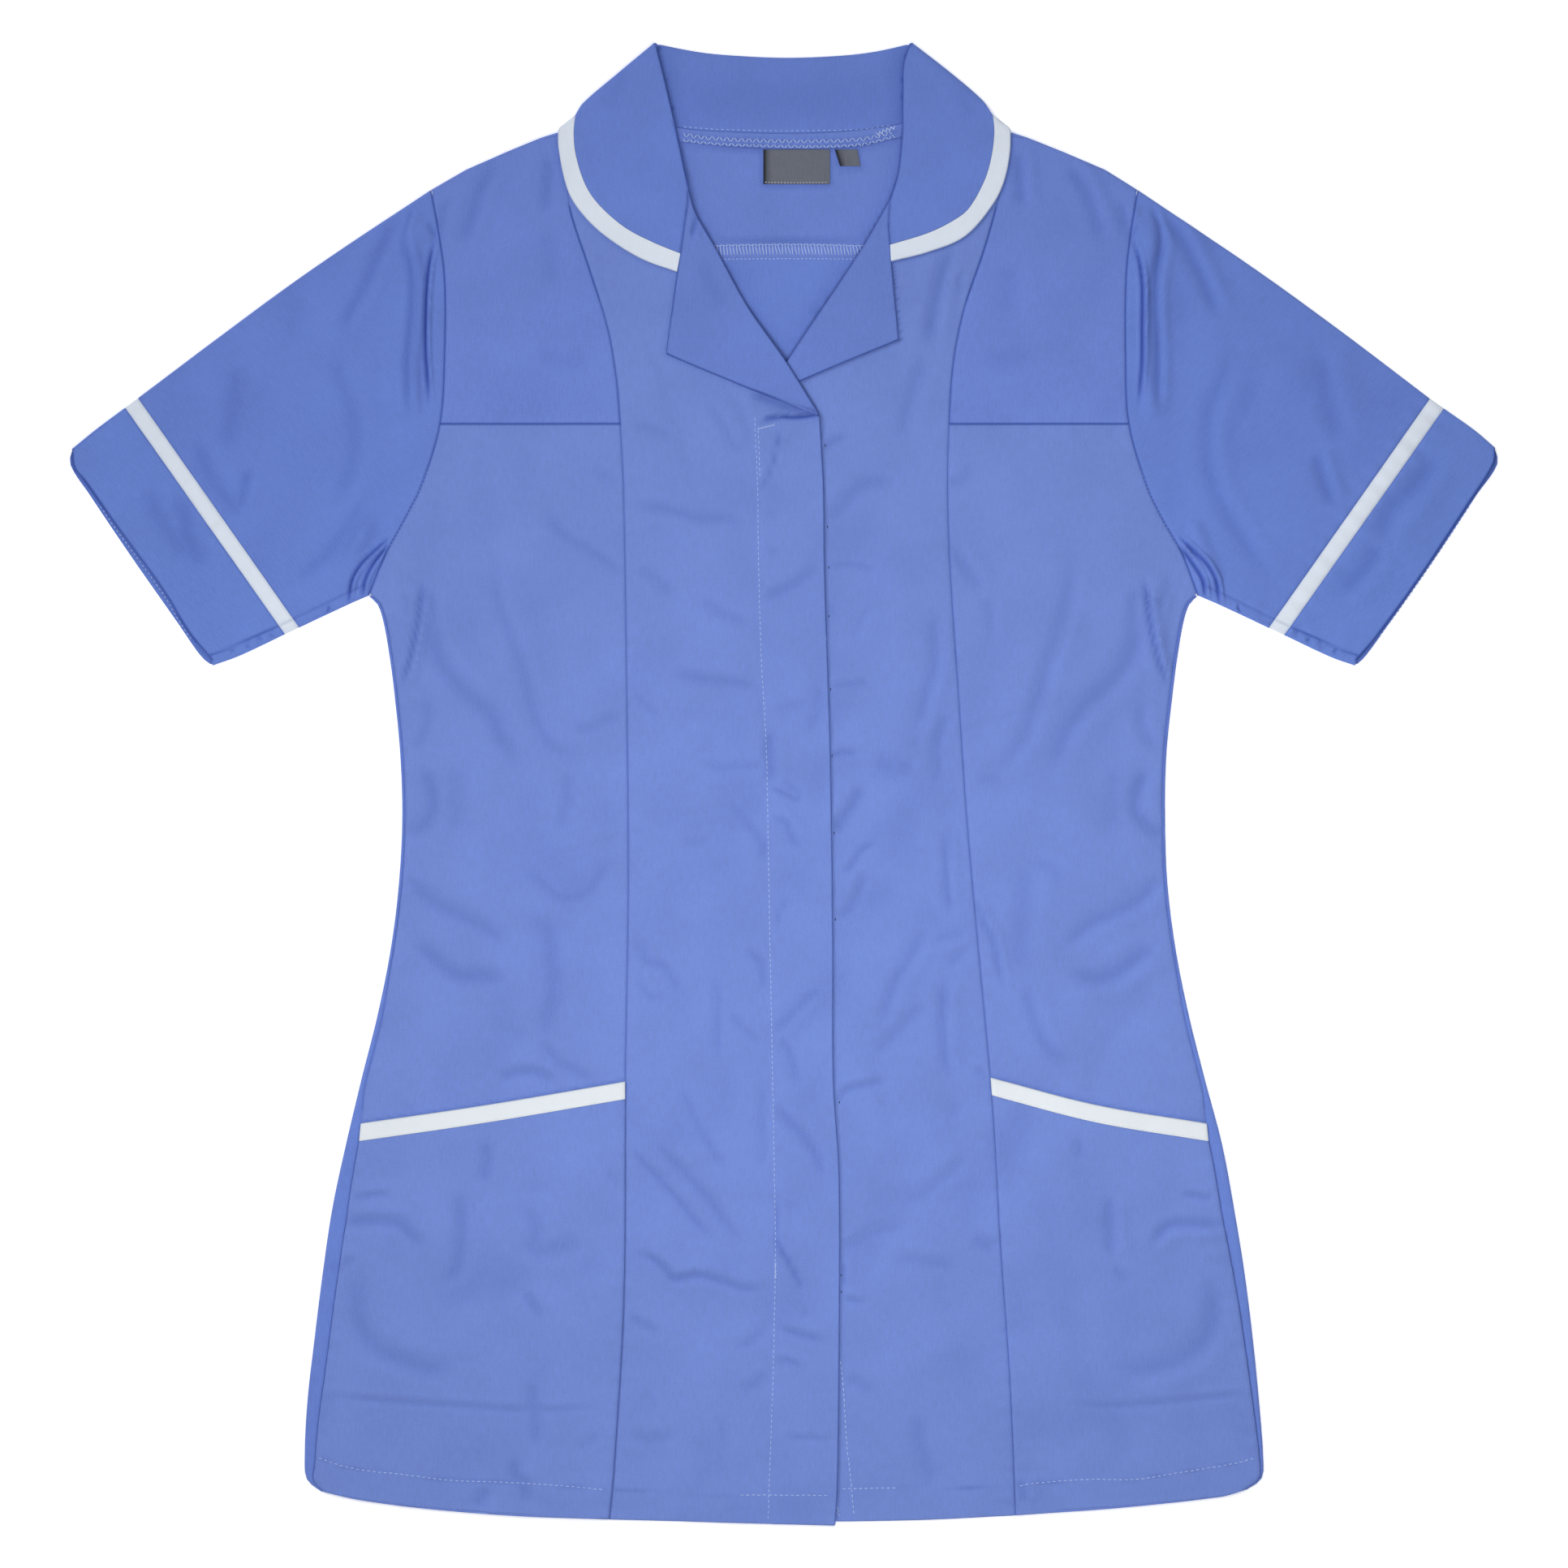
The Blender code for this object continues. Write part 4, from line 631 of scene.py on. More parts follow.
# %% Creases
CREASES = (                  # depth, half width, and x, y of marks along it
    # Left sleeve
    (3.0, 0.65, -188, 297, -191, 287, -193, 274, -194, 255, -194, 235, -193, 218, -192, 205),
    (1.25, 1.5, -205, 302, -206, 292, -202, 278, -202, 255, -204, 232, -204, 212, -203, 198),
    (0.45, 3.0, -198, 298, -199, 275, -200, 250, -200, 225, -199, 205),
    (0.6, 1.0, -201, 313, -204, 304, -207, 294),
    (0.6, 1.0, -193, 304, -190, 300, -188, 295),
    (0.75, 2.2, -206, 308, -214, 298, -221, 284, -228, 268, -236, 254, -239, 242),
    (0.5, 3.0, -241, 236, -241, 222, -234, 203, -232, 184, -237, 165, -245, 150),
    (0.5, 2.6, -226, 156, -236, 140, -248, 124, -264, 110),
    (0.75, 2.0, -290, 172, -292, 160, -296, 148),
    (0.55, 4.0, -294, 228, -297, 215, -299, 198, -304, 180),
    (2.8, 0.62, -213, 134, -221, 127, -229, 119, -234, 110, -236, 97),
    (2.8, 0.62, -214, 130, -222, 120, -227, 110, -228, 101),
    (0.8, 3.5, -330, 157, -324, 144, -324, 135, -313, 117),
    (0.7, 3.0, -319, 188, -310, 166, -293, 144),
    (0.65, 3.1, -346, 161, -335, 139, -321, 122),
    (1.0, 0.6, -298, 71, -300, 76),
    (1.0, 0.6, -290, 73, -291, 79),
    (1.2, 0.6, -284, 76, -284, 81),
    (1.0, 0.6, -277, 79, -278, 84),
    (0.8, 0.6, -247, 92, -246, 97),
    # Right sleeve
    (3.0, 0.65, 188, 296, 192, 285, 194, 270, 194, 250, 194, 230, 193, 215, 192, 204),
    (1.25, 1.5, 201, 303, 204, 292, 201, 275, 201, 255, 202, 235, 202, 212, 202, 200),
    (0.45, 3.0, 198, 295, 199, 270, 200, 245, 200, 220, 199, 205),
    (0.6, 1.0, 199, 313, 203, 303, 206, 293),
    (0.6, 1.0, 193, 303, 190, 300, 188, 295),
    (0.75, 2.2, 205, 309, 214, 298, 222, 283, 229, 268, 235, 252),
    (0.5, 2.8, 242, 240, 240, 225, 231, 205, 229, 188, 231, 167, 238, 150, 250, 130, 266, 108),
    (0.7, 2.0, 288, 180, 292, 165, 298, 150),
    (0.55, 4.0, 288, 236, 293, 212, 300, 184),
    (2.8, 0.62, 214, 134, 221, 127, 229, 119, 234, 110, 236, 97),
    (2.8, 0.62, 214, 129, 221, 120, 227, 110, 228, 101),
    (0.75, 3.5, 354, 179, 341, 161, 328, 148, 323, 130),
    (0.8, 3.1, 323, 130, 314, 117, 301, 104),
    (1.0, 0.6, 298, 70, 300, 75),
    (1.0, 0.6, 290, 73, 291, 79),
    (1.2, 0.6, 284, 76, 284, 81),
    (1.0, 0.6, 277, 79, 278, 84),
    (0.8, 0.6, 247, 92, 246, 97),
    # Shoulder panels and under the collar
    (0.5, 1.8, -182, 318, -185, 306, -187, 294),
    (0.65, 2.2, -155, 338, -164, 322, -169, 306, -175, 292),
    (0.65, 2.0, -127, 341, -128, 325, -129, 310),
    (0.34, 4.0, -128, 300, -127, 285, -125, 268),
    (0.34, 4.0, -135, 235, -118, 228, -105, 232),
    (0.34, 1.2, -98, 276, -96, 264),
    (0.5, 1.8, 182, 316, 185, 306, 187, 294),
    (0.65, 2.2, 153, 336, 163, 322, 169, 306, 174, 292),
    (0.65, 2.0, 127, 343, 128, 328, 129, 312),
    (0.34, 4.0, 120, 282, 122, 268, 118, 255),
    (0.34, 4.0, 108, 232, 122, 230, 134, 236),
    (0.34, 1.2, 95, 278, 96, 264),
    (0.34, 3.1, -86, 386, -93, 372, -97, 364),
    (0.34, 3.1, 94, 377, 98, 368, 101, 359),
    # Left side front
    (1.7, 1.1, -195, 111, -197, 97, -199, 83, -203, 66, -208, 52),
    (0.55, 1.8, -191, 108, -190, 92, -190, 76, -186, 66),
    (0.72, 3.3, -192, 98, -191, 84, -188, 70, -180, 58, -170, 47, -159, 38, -154, 27, -148, 17,
     -142, 8),
    (0.45, 1.2, -206, 104, -204, 96, -205, 89),
    (0.5, 2.6, -158, 132, -157, 112, -154, 96, -147, 77, -140, 57, -136, 40, -133, 31, -125, 20,
     -113, 15, -107, 8),
    (0.55, 2.4, -131, 148, -124, 140, -118, 134, -108, 128, -99, 123, -91, 116, -86, 112),
    (0.34, 2.2, -104, 172, -97, 167, -90, 161),
    (0.45, 2.0, -115, 32, -107, 30, -98, 34, -88, 38),
    (0.5, 2.2, -195, 48, -193, 36, -196, 26, -201, 18),
    (0.72, 2.8, -197, 10, -192, 0, -190, -10, -192, -18, -199, -24, -206, -26),
    (0.34, 4.0, -178, 12, -177, -8, -178, -28),
    (0.4, 2.4, -118, 8, -117, -8, -120, -18, -119, -27),
    (0.6, 2.6, -205, -46, -198, -57, -190, -64, -178, -70, -165, -76, -148, -88),
    (0.75, 2.9, -202, -84, -192, -92, -184, -99, -175, -104, -162, -104, -149, -107),
    (0.55, 2.0, -146, -46, -132, -52, -123, -60, -112, -61, -105, -57, -98, -47, -90, -40),
    (0.58, 3.6, -142, -73, -133, -76, -128, -80, -126, -96, -125, -112, -128, -126, -130, -139),
    (0.34, 2.4, -160, -130, -150, -133, -139, -137),
    (0.68, 1.9, -156, -161, -147, -157, -137, -156, -130, -158, -124, -162),
    (0.5, 1.8, -133, -138, -122, -150, -112, -156, -102, -161),
    # Left pocket
    (0.65, 2.2, -161, -193, -161, -204, -163, -216),
    (0.7, 2.8, -177, -220, -175, -232, -175, -248, -177, -262, -186, -272),
    (0.6, 1.1, -234, -225, -225, -223, -213, -222),
    (0.75, 1.9, -240, -237, -222, -237, -209, -238, -202, -244, -195, -251),
    (0.34, 1.6, -247, -258, -242, -262, -231, -256),
    (0.58, 3.4, -229, -262, -231, -280, -228, -296, -220, -306, -204, -313, -188, -317,
     -177, -311),
    (0.42, 1.1, -254, -330, -228, -333, -202, -335, -170, -337, -138, -339, -112, -338, -90, -335),
    (0.55, 2.8, -137, -322, -135, -342, -134, -360),
    (0.65, 2.4, -143, -364, -146, -372, -141, -380, -139, -390),
    (0.6, 1.8, -141, -274, -136, -282, -131, -289),
    (0.48, 2.8, -143, -226, -134, -239, -135, -252, -120, -251, -108, -248),
    (0.34, 1.6, -97, -210, -88, -217),
    (0.34, 1.6, -100, -352, -111, -361),
    (0.6, 2.0, -166, -392, -163, -386, -159, -382),
    # Left centre front
    (0.6, 2.2, -82, 152, -60, 148, -46, 144, -31, 144, -18, 137),
    (0.5, 2.4, -80, 118, -70, 112, -60, 102),
    (0.5, 2.0, -46, 100, -32, 92, -18, 86),
    (0.6, 2.0, -62, 60, -50, 58, -35, 56, -22, 54, -13, 51),
    (0.5, 1.3, -83, 52, -77, 45, -71, 39, -69, 34),
    (0.5, 1.7, -42, 14, -36, 9, -24, 9, -10, 11),
    (0.6, 1.8, -30, -6, -24, -15, -16, -26, -11, -35, -14, -43),
    (0.34, 2.2, -55, -31, -47, -32, -40, -29),
    (0.34, 2.2, -82, 194, -71, 192, -60, 188),
    (0.45, 2.2, -44, 207, -34, 196, -28, 184, -20, 178),
    (0.34, 2.0, -28, 210, -22, 196, -19, 180),
    (0.6, 1.7, -21, -90, -14, -95, -11, -103, -12, -112),
    (0.55, 1.6, -77, -80, -75, -95, -65, -99, -60, -106, -55, -116),
    (0.45, 1.3, -80, -106, -73, -115, -65, -116),
    (0.55, 1.5, -37, -102, -36, -125, -36, -150),
    (0.4, 1.6, -29, -123, -21, -133, -12, -140),
    (0.4, 1.8, -10, -160, -12, -182, -11, -196, -14, -209),
    (0.55, 1.7, -56, -163, -50, -177, -44, -190, -38, -200, -31, -209),
    (0.75, 1.3, -84, -195, -75, -206, -65, -217, -55, -228, -47, -238, -38, -247),
    (0.6, 1.7, -73, -190, -60, -204, -50, -215, -41, -224, -33, -236, -22, -249),
    (0.85, 1.4, -83, -253, -71, -257, -64, -263, -60, -268, -46, -266, -31, -270, -20, -273,
     -8, -272),
    (0.5, 1.6, -84, -289, -76, -293, -68, -298),
    (0.5, 1.6, -25, -306, -16, -300, -9, -291),
    (0.45, 1.8, -23, -329, -16, -325, -8, -318),
    (0.34, 1.4, -34, -342, -33, -362, -34, -379),
    (0.34, 2.0, -84, -350, -72, -356, -60, -352),
    # Fly
    (3.0, 0.8, -13, 194.8, -9, 197, -2, 198.6, 6, 198.2, 13, 198.9, 19.6, 200.2),
    (1.15, 0.9, -2, 193, -4, 181, -8, 168, -13, 157),
    (0.34, 1.6, -4, 150, -9, 145),
    (0.7, 1.9, -13, 100, 0, 105, 10, 111, 20, 120),
    (0.34, 2.0, -10, 125, -3, 128),
    (0.5, 2.4, 18, 56, 19, 45, 17, 36, 13, 27),
    (0.34, 1.8, -6, 40, 5, 42, 14, 44),
    (0.85, 1.9, -7, 30, -8, 21, -7, 8, -8, 0),
    (0.8, 0.9, -7, -2, 0, -5, 7, -10),
    (0.6, 1.3, 1, 0, 6, -3, 8, -11),
    (0.75, 1.5, -6, -18, 1, -21, 5, -30, 9, -35),
    (0.6, 1.2, 3, -61, -2, -68, -4, -76),
    (0.7, 1.7, 22, -109, 14, -115, 6, -123, -1, -130, -6, -136),
    (0.6, 1.7, -3, -136, 3, -145, 6, -155, 7, -163),
    (0.75, 1.8, -5, -172, 1, -181, 9, -189, 17, -200, 21, -215),
    (0.34, 1.5, 2, -224, 6, -232),
    (0.8, 0.7, -3, -222, -3, -240, -2, -256),
    (1.3, 1.2, -5, -243, -2, -252, 2, -258, 6, -266, 10, -275),
    (0.5, 1.2, 8, -277, 12, -289),
    (0.75, 1.3, -3, -294, 3, -296, 12, -299, 22, -301),
    (0.6, 1.1, -5, -313, 2, -312, 9, -316),
    (0.4, 1.0, 0, -354, 12, -354, 26, -355),
    # Right centre front
    (0.85, 2.4, 92, 292, 87, 282, 83, 268, 80, 250, 78, 236),
    (0.45, 2.8, 77, 232, 71, 218, 66, 201, 64, 186),
    (0.7, 1.3, 22, 181, 26, 185, 34, 189),
    (0.6, 2.6, 24, 141, 32, 151, 40, 160, 50, 164, 60, 162),
    (0.6, 1.9, 24, 117, 31, 119, 42, 118, 50, 115),
    (0.4, 2.0, 26, 100, 27, 88),
    (0.34, 2.0, 46, 98, 42, 90, 36, 78),
    (0.55, 1.5, 25, 52, 34, 54, 47, 55),
    (0.8, 1.2, 26, 15, 31, 17, 40, 16),
    (0.6, 4.0, 48, 12, 60, 9, 72, 8),
    (0.85, 2.0, 28, -28, 32, -19, 38, -10, 43, -1),
    (0.8, 1.2, 31, -48, 37, -44, 42, -36, 51, -31),
    (0.65, 1.7, 28, -73, 35, -69, 40, -60, 44, -47),
    (0.62, 2.1, 82, 96, 81, 80, 82, 64, 78, 52, 75, 40, 70, 28),
    (0.6, 1.8, 76, 0, 83, 4, 83, 20, 87, 33, 93, 37),
    (0.85, 1.2, 88, -22, 88, -38, 88, -55, 91, -72),
    (0.58, 2.0, 81, -76, 75, -83, 69, -94, 61, -106, 56, -119, 52, -132),
    (0.45, 1.8, 100, -81, 90, -82, 80, -85),
    (0.55, 1.8, 98, -90, 93, -95, 89, -99),
    (0.75, 1.8, 87, -104, 86, -128, 87, -146, 90, -160),
    (0.6, 1.4, 29, -173, 34, -166, 43, -163, 55, -161),
    (0.34, 1.8, 94, -171, 92, -177, 90, -182),
    (0.6, 1.0, 32, -258, 33, -272),
    (0.55, 3.0, 101, -246, 108, -249, 114, -252),
    (0.4, 2.0, 59, -257, 77, -259, 94, -261),
    (0.45, 2.0, 30, -254, 42, -247, 52, -242, 66, -239),
    (0.36, 2.0, 62, -228, 78, -220, 92, -208, 100, -199),
    (0.42, 2.0, 48, -147, 62, -134, 77, -117),
    (0.6, 1.2, 32, -278, 38, -280, 44, -281),
    (0.45, 1.8, 33, -322, 41, -325, 48, -331),
    (0.5, 2.6, 72, -340, 75, -362, 82, -380),
    # Right side front
    (0.6, 2.2, 90, 129, 96, 121, 101, 113, 107, 105),
    (0.34, 2.0, 110, 103, 112, 88, 111, 72),
    (0.4, 2.0, 88, 163, 95, 164, 103, 172),
    (0.5, 0.7, 93, 72, 95, 67, 98, 65),
    (1.7, 1.1, 195, 112, 197, 98, 199, 83, 203, 66, 208, 53),
    (0.55, 1.8, 190, 108, 189, 92, 190, 78, 187, 66),
    (0.72, 3.3, 192, 98, 191, 86, 189, 74, 182, 62, 173, 52, 163, 43, 156, 34, 150, 24, 147, 13,
     144, 4),
    (0.45, 1.2, 206, 104, 204, 97, 203, 90),
    (0.5, 2.6, 156, 128, 154, 104, 149, 84, 143, 66, 139, 52, 134, 38, 129, 24, 119, 12, 108, 6),
    (0.5, 2.2, 195, 48, 193, 36, 196, 26, 201, 18),
    (0.75, 2.6, 198, 10, 192, -1, 190, -12, 193, -19, 200, -25, 207, -31),
    (0.34, 3.6, 178, 10, 178, -8, 176, -26),
    (0.34, 2.4, 105, 1, 112, 3, 119, 1),
    (0.62, 2.6, 205, -47, 198, -57, 190, -64, 178, -70, 165, -76, 151, -88),
    (0.75, 3.0, 201, -86, 192, -93, 182, -101, 170, -105, 154, -103),
    (0.42, 4.0, 132, -42, 130, -60, 128, -82, 130, -104),
    (0.75, 1.1, 103, -60, 108, -74, 113, -84, 116, -97, 119, -111),
    (0.55, 2.2, 131, -107, 134, -122, 139, -136, 146, -146, 157, -152),
    (0.34, 2.4, 134, -42, 145, -46, 152, -53),
    (0.5, 1.8, 103, -153, 107, -157, 110, -160),
    # Right pocket
    (0.65, 2.2, 176, -222, 176, -235, 177, -257),
    (0.5, 2.0, 178, -261, 182, -266, 187, -270),
    (0.45, 2.0, 158, -191, 160, -197, 160, -204),
    (0.75, 1.9, 240, -238, 226, -238, 209, -239, 198, -250),
    (0.6, 1.1, 215, -222, 223, -223, 232, -225),
    (0.58, 3.6, 228, -266, 232, -284, 228, -300, 216, -310, 200, -315, 184, -316, 178, -309),
    (0.42, 1.1, 150, -334, 172, -337, 214, -334, 257, -329),
    (0.65, 2.0, 127, -376, 129, -382, 130, -389),
    # Lapel
    (0.34, 2.6, -32, 258, -38, 270, -43, 284),
    (0.95, 0.8, -46, 310, -48, 303, -50, 296),
)
CREASE_DEPTH = 1.4           # mm for a depth of 1
CREASE_WIDTH = 1.6
DEEPEST = 1.3                # what a deeper crease has more of is painted shade
crease_lines = [(depth, width * CREASE_WIDTH, Line(np.reshape(marks, (-1, 2)), pieces=5))
                for depth, width, *marks in CREASES]
print(len(FOLDS), "large folds and", len(CREASES), "creases")

# %% Ditches at the seams
DITCH, DITCH_WIDTH = 0.50, 0.8
PUCKER, PUCKER_REACH = 0.14, 9.0
RIPPLES = ((1.0, 0.66, 0.0), (0.8, 0.41, 1.0))       # share, pace along the seam, and start
STRETCHES = {                # each stretch's highest level and how much painted shade its seam has
    "panel_seam": ((313.0, 0.95), (262.0, 0.72), (CHEST_SEAM_LEVEL, 0.50), (-166.0, 0.24)),
    "side_seam": ((102.0, 0.36), (-176.0, 0.12)),
}
# how much painted shade each whole seam has
WHOLE_SEAMS = {"armhole": 0.82, "chest": 1.0, "band_top": 0.45, "band_foot": 0.45,
               "underarm_seam": 0.28, "cuff_seam": 0.62, "under_band": 0.60}
ditch_lines = []             # each with how much painted shade its seam has
for hand in HANDS:
    shape = lines[hand]
    for name, stretches in STRETCHES.items():
        run = shape[name]
        ends = [run.share(level) for level, _ in stretches] + [1.0]
        for start, end, (_, amount) in zip(ends, ends[1:], stretches):
            ditch_lines.append((straight(run.part(start, end)), amount))
    shape["chest"] = straight(*(line.at([line.share(CHEST_SEAM_LEVEL)])
                                for line in (shape["armhole"], shape["panel_seam"])))
    shape["under_band"] = straight(shape["underarm_seam"].dots[-1], shape["cuff_seam"].dots[0])
    ditch_lines += [(shape[name], amount) for name, amount in WHOLE_SEAMS.items()]
print(len(ditch_lines), "stretches of seam")


# %% Heights
def smooth(share):
    """A smooth step from 0 to 1."""
    share = np.clip(share, 0.0, 1.0)
    return share * share * (3.0 - 2.0 * share)


def nearest(places, dots):
    """Each place's distance to a line of points, how far along the line it lies, and its side."""
    best = np.full(len(places), 1e9)
    along = np.zeros(len(places))
    side = np.zeros(len(places))
    reach = 0.0
    for start, end in zip(dots, dots[1:]):
        run = end - start
        length = math.hypot(*run)
        if length < 1e-6:
            continue
        offset = places - start
        part = np.clip(offset @ run / length**2, 0.0, 1.0)
        gap = offset - part[:, None] * run
        distance = np.hypot(gap[:, 0], gap[:, 1])
        closer = distance < best
        best[closer] = distance[closer]
        along[closer] = reach + part[closer] * length
        turn = run[0] * offset[:, 1] - run[1] * offset[:, 0]
        side[closer] = np.sign(turn[closer])
        reach += length
    return best, along, side


def around(places, dots, margin):
    """Which places lie in a line's box, widened by a margin."""
    low, high = dots.min(axis=0) - margin, dots.max(axis=0) + margin
    return np.flatnonzero(np.all((places > low) & (places < high), axis=1))


def fold_height(places):
    """Height of the large folds."""
    total = np.zeros(len(places))
    for x0, y0, x1, y1, height, width in FOLDS:
        dots = np.array(((x0, y0), (x1, y1)))
        near = around(places, dots, width)
        distance = nearest(places[near], dots)[0]
        total[near] += height * smooth(1.0 - distance / width)
    return total


FADE, START = 0.24, 0.15     # share of a crease that fades at each end, and what it starts with
BROW_PLACE, BROW, BROW_LEAN = 2.0, 0.50, 0.30        # of the lips: place in widths, height, swing


def bell(distance, width):
    """1 on a line, falling smoothly to nothing within about two widths."""
    return np.exp(-(distance / width) ** 2)


def crease_ends(line, along):
    """How a crease fades out towards its two ends."""
    return smooth(np.minimum(along, line.long - along) / (FADE * line.long) + START)


def crease_height(places):
    """Troughs of the creases, each with a high lip on one side and a low one on the other."""
    total = np.zeros(len(places))
    for depth, width, line in crease_lines:
        near = around(places, line.dots, 2.0 * BROW_PLACE * width)
        if len(near):
            distance, along, side = nearest(places[near], line.dots)
            lips = bell(distance - BROW_PLACE * width, width) * (BROW + BROW_LEAN * side)
            form = crease_ends(line, along) * (lips - bell(distance, width))
            total[near] += CREASE_DEPTH * min(depth, DEEPEST) * form
    return total


LATTICE_SIZE = 64
LATTICE = np.random.default_rng(11).uniform(-1.0, 1.0, (LATTICE_SIZE, LATTICE_SIZE))
LAYER_SHIFTS = (7.31, 3.17)  # each layer of waves reads another part of the lattice
DRAGS = (                    # size of the lumps, how long they are drawn out, direction, height
    (58.0, 1.6, 0.3, 0.95),
    (34.0, 2.4, 2.4, 0.75),
    (21.0, 2.6, 1.1, 0.56),
    (13.0, 3.0, 1.8, 0.36),
    (15.0, 2.8, 0.2, 0.36),
    (9.0, 2.2, 0.9, 0.16),
)


def lumps(places, size, stretch, turn, layer):
    """Smooth random heights from -1 to 1, drawn out along one direction."""
    cosine, sine = math.cos(turn), math.sin(turn)
    along = places @ np.array((cosine, sine)) / (size * stretch) + LAYER_SHIFTS[0] * layer
    across = places @ np.array((-sine, cosine)) / size + LAYER_SHIFTS[1] * layer
    i, j = np.floor(along).astype(int), np.floor(across).astype(int)
    a, b = smooth(along - i), smooth(across - j)
    i, j = i % (LATTICE_SIZE - 1), j % (LATTICE_SIZE - 1)
    near = LATTICE[i, j] * (1.0 - a) + LATTICE[i + 1, j] * a
    far = LATTICE[i, j + 1] * (1.0 - a) + LATTICE[i + 1, j + 1] * a
    return near * (1.0 - b) + far * b


PATCHES = (95.0, 1.0, 0.8, 9)          # size, stretch, turn and layer of the lively patches
PATCH, PATCH_SWING = 0.75, 0.45
WAVE_SCALE = 0.62


def wave_height(places, first=0):
    """Long low waves and the short drag lines on them, in patches, from one layer on."""
    total = np.zeros(len(places))
    patch = PATCH + PATCH_SWING * lumps(places, *PATCHES)
    for layer, (size, stretch, turn, height) in enumerate(DRAGS):
        if layer >= first:
            total += height * lumps(places, size, stretch, turn, layer) * (patch if layer else 1.0)
    return total * WAVE_SCALE


def seam_height(places):
    """Ditches along the seams, and the puckers that the sewing pulls beside them."""
    ditch, pucker = np.zeros(len(places)), np.zeros(len(places))
    for line, _ in ditch_lines:
        near = around(places, line.dots, 2.0 * PUCKER_REACH)
        if len(near):
            distance, along, _ = nearest(places[near], line.dots)
            ditch[near] = np.minimum(ditch[near], -DITCH * bell(distance, DITCH_WIDTH))
            ripple = sum(share * np.sin(pace * along + start) for share, pace, start in RIPPLES)
            pucker[near] += PUCKER * ripple * bell(distance, PUCKER_REACH)
    return ditch + pucker


LOWEST, LOWEST_BLEND = -0.45, 0.2      # a trough in the front stays clear of the back
BOTTOM = -0.72               # and so does a ditch in a trough
PUFF = 0.45                  # air in the laid cloth
CALM, CALM_FADE = 3.0, 15.0  # how far cloth is flat beside a line, and then how fast that ends
BACK_WAVES, BACK_WAVE_TOP = 0.3, 0.5
COLLAR_FOOT_LEVEL, COLLAR_FOOT_BOW, COLLAR_HALF_WIDTH = 328.5, 24.2, 122.0
STAND_SPREAD = 40.0
calm_lines = []              # the collar's folds at the shoulders, where the cloth lies flat
for marks in SHAPE.values():
    tip = marks["roll"][0]
    calm_lines.append(np.array((tip, marks["neck_point"])))
    calm_lines.append(np.array((tip, *marks["shoulder_roll"][1:], marks["edging_outside"][0])))


def calm(places):
    """0 on the collar's folds at the shoulders, 1 away from them."""
    share = np.ones(len(places))
    for dots in calm_lines:
        near = around(places, dots, CALM + CALM_FADE)
        if len(near):
            distance = nearest(places[near], dots)[0]
            share[near] = np.minimum(share[near], smooth((distance - CALM) / CALM_FADE))
    return share


def relief(places):
    """Creases, waves and ditches together, kept clear of the layer below."""
    total = (crease_height(places) + wave_height(places) + PUFF) * calm(places)
    total = LOWEST + LOWEST_BLEND * np.logaddexp(0.0, (total - LOWEST) / LOWEST_BLEND)
    return np.maximum(total + seam_height(places), BOTTOM)


def collar_rise(places):
    """How far the back is lifted by the collar's fall under it, from 0 to 1."""
    edge = COLLAR_FOOT_LEVEL + COLLAR_FOOT_BOW * (places[:, 0] / COLLAR_HALF_WIDTH) ** 2
    return smooth((places[:, 1] - edge + STAND_SPREAD) / STAND_SPREAD)


def table_height(places):
    """The lower back, which lies on the table."""
    waves = np.clip(wave_height(places[:, ::-1]), 0.0, BACK_WAVE_TOP)
    return BACK + BACK_WAVES * waves * calm(places)


def back_height(places):
    """The upper back, which the collar's fall lifts."""
    return table_height(places) + LAYER * collar_rise(places)


def side_height(places):
    """The strip of the lower back that is turned to the front at the sides."""
    return FRONT + fold_height(places) + relief(places)


def front_height(places):
    """The right front, the shoulder panels, the side fronts and the sleeves."""
    return FRONT + LAYER * collar_rise(places) + fold_height(places) + relief(places)


# Where the left front climbs over the right one and over the foot of its lapel
UNDERLAP_TOP = np.array((-16.0, 201.0))
UNDERLAP_EDGE, UNDERLAP_SLANT = -18.0, 0.63
LAPEL_CROSSING = np.array((4.5, 223.0))
FRONT_CLIMB, LAPEL_CLIMB, LAPEL_REACH = 48.0, 40.0, 50.0
FLY_THICKNESS, FLY_RISE, FLY_TOP = 0.35, 3.0, 202.7
PULL, PULL_WIDTH, PULL_TOP = 0.18, 2.6, 197.0        # how the thread pulls the cloth down
PULL_RIPPLES = ((0.06, 0.55), (0.05, 0.31))          # and how that varies: amount and pace


def fly_height(places):
    """The thicker strip between the fly's stitch line and the closing edge."""
    x, y = places.T
    gap = x - np.interp(-y, -FLY_LINE.dots[:, 1], FLY_LINE.dots[:, 0])
    pull = PULL
    for amount, pace in PULL_RIPPLES:
        pull = pull + amount * np.sin(pace * y)
    return (FLY_THICKNESS * smooth(gap / FLY_RISE) * (y < FLY_TOP)
            - pull * bell(gap, PULL_WIDTH) * (y < PULL_TOP))


def left_front_height(places):
    """The left front, which climbs over the right front and over the hidden foot of its lapel."""
    edge = UNDERLAP_EDGE + UNDERLAP_SLANT * np.maximum(places[:, 1] - UNDERLAP_TOP[1], 0.0)
    over_front = smooth((places[:, 0] - edge + FRONT_CLIMB) / FRONT_CLIMB)
    distance = nearest(places, np.array((UNDERLAP_TOP, LAPEL_CROSSING)))[0]
    over_lapel = smooth((LAPEL_REACH - distance) / LAPEL_CLIMB)
    return front_height(places) + LAYER * (over_front + over_lapel) + fly_height(places)


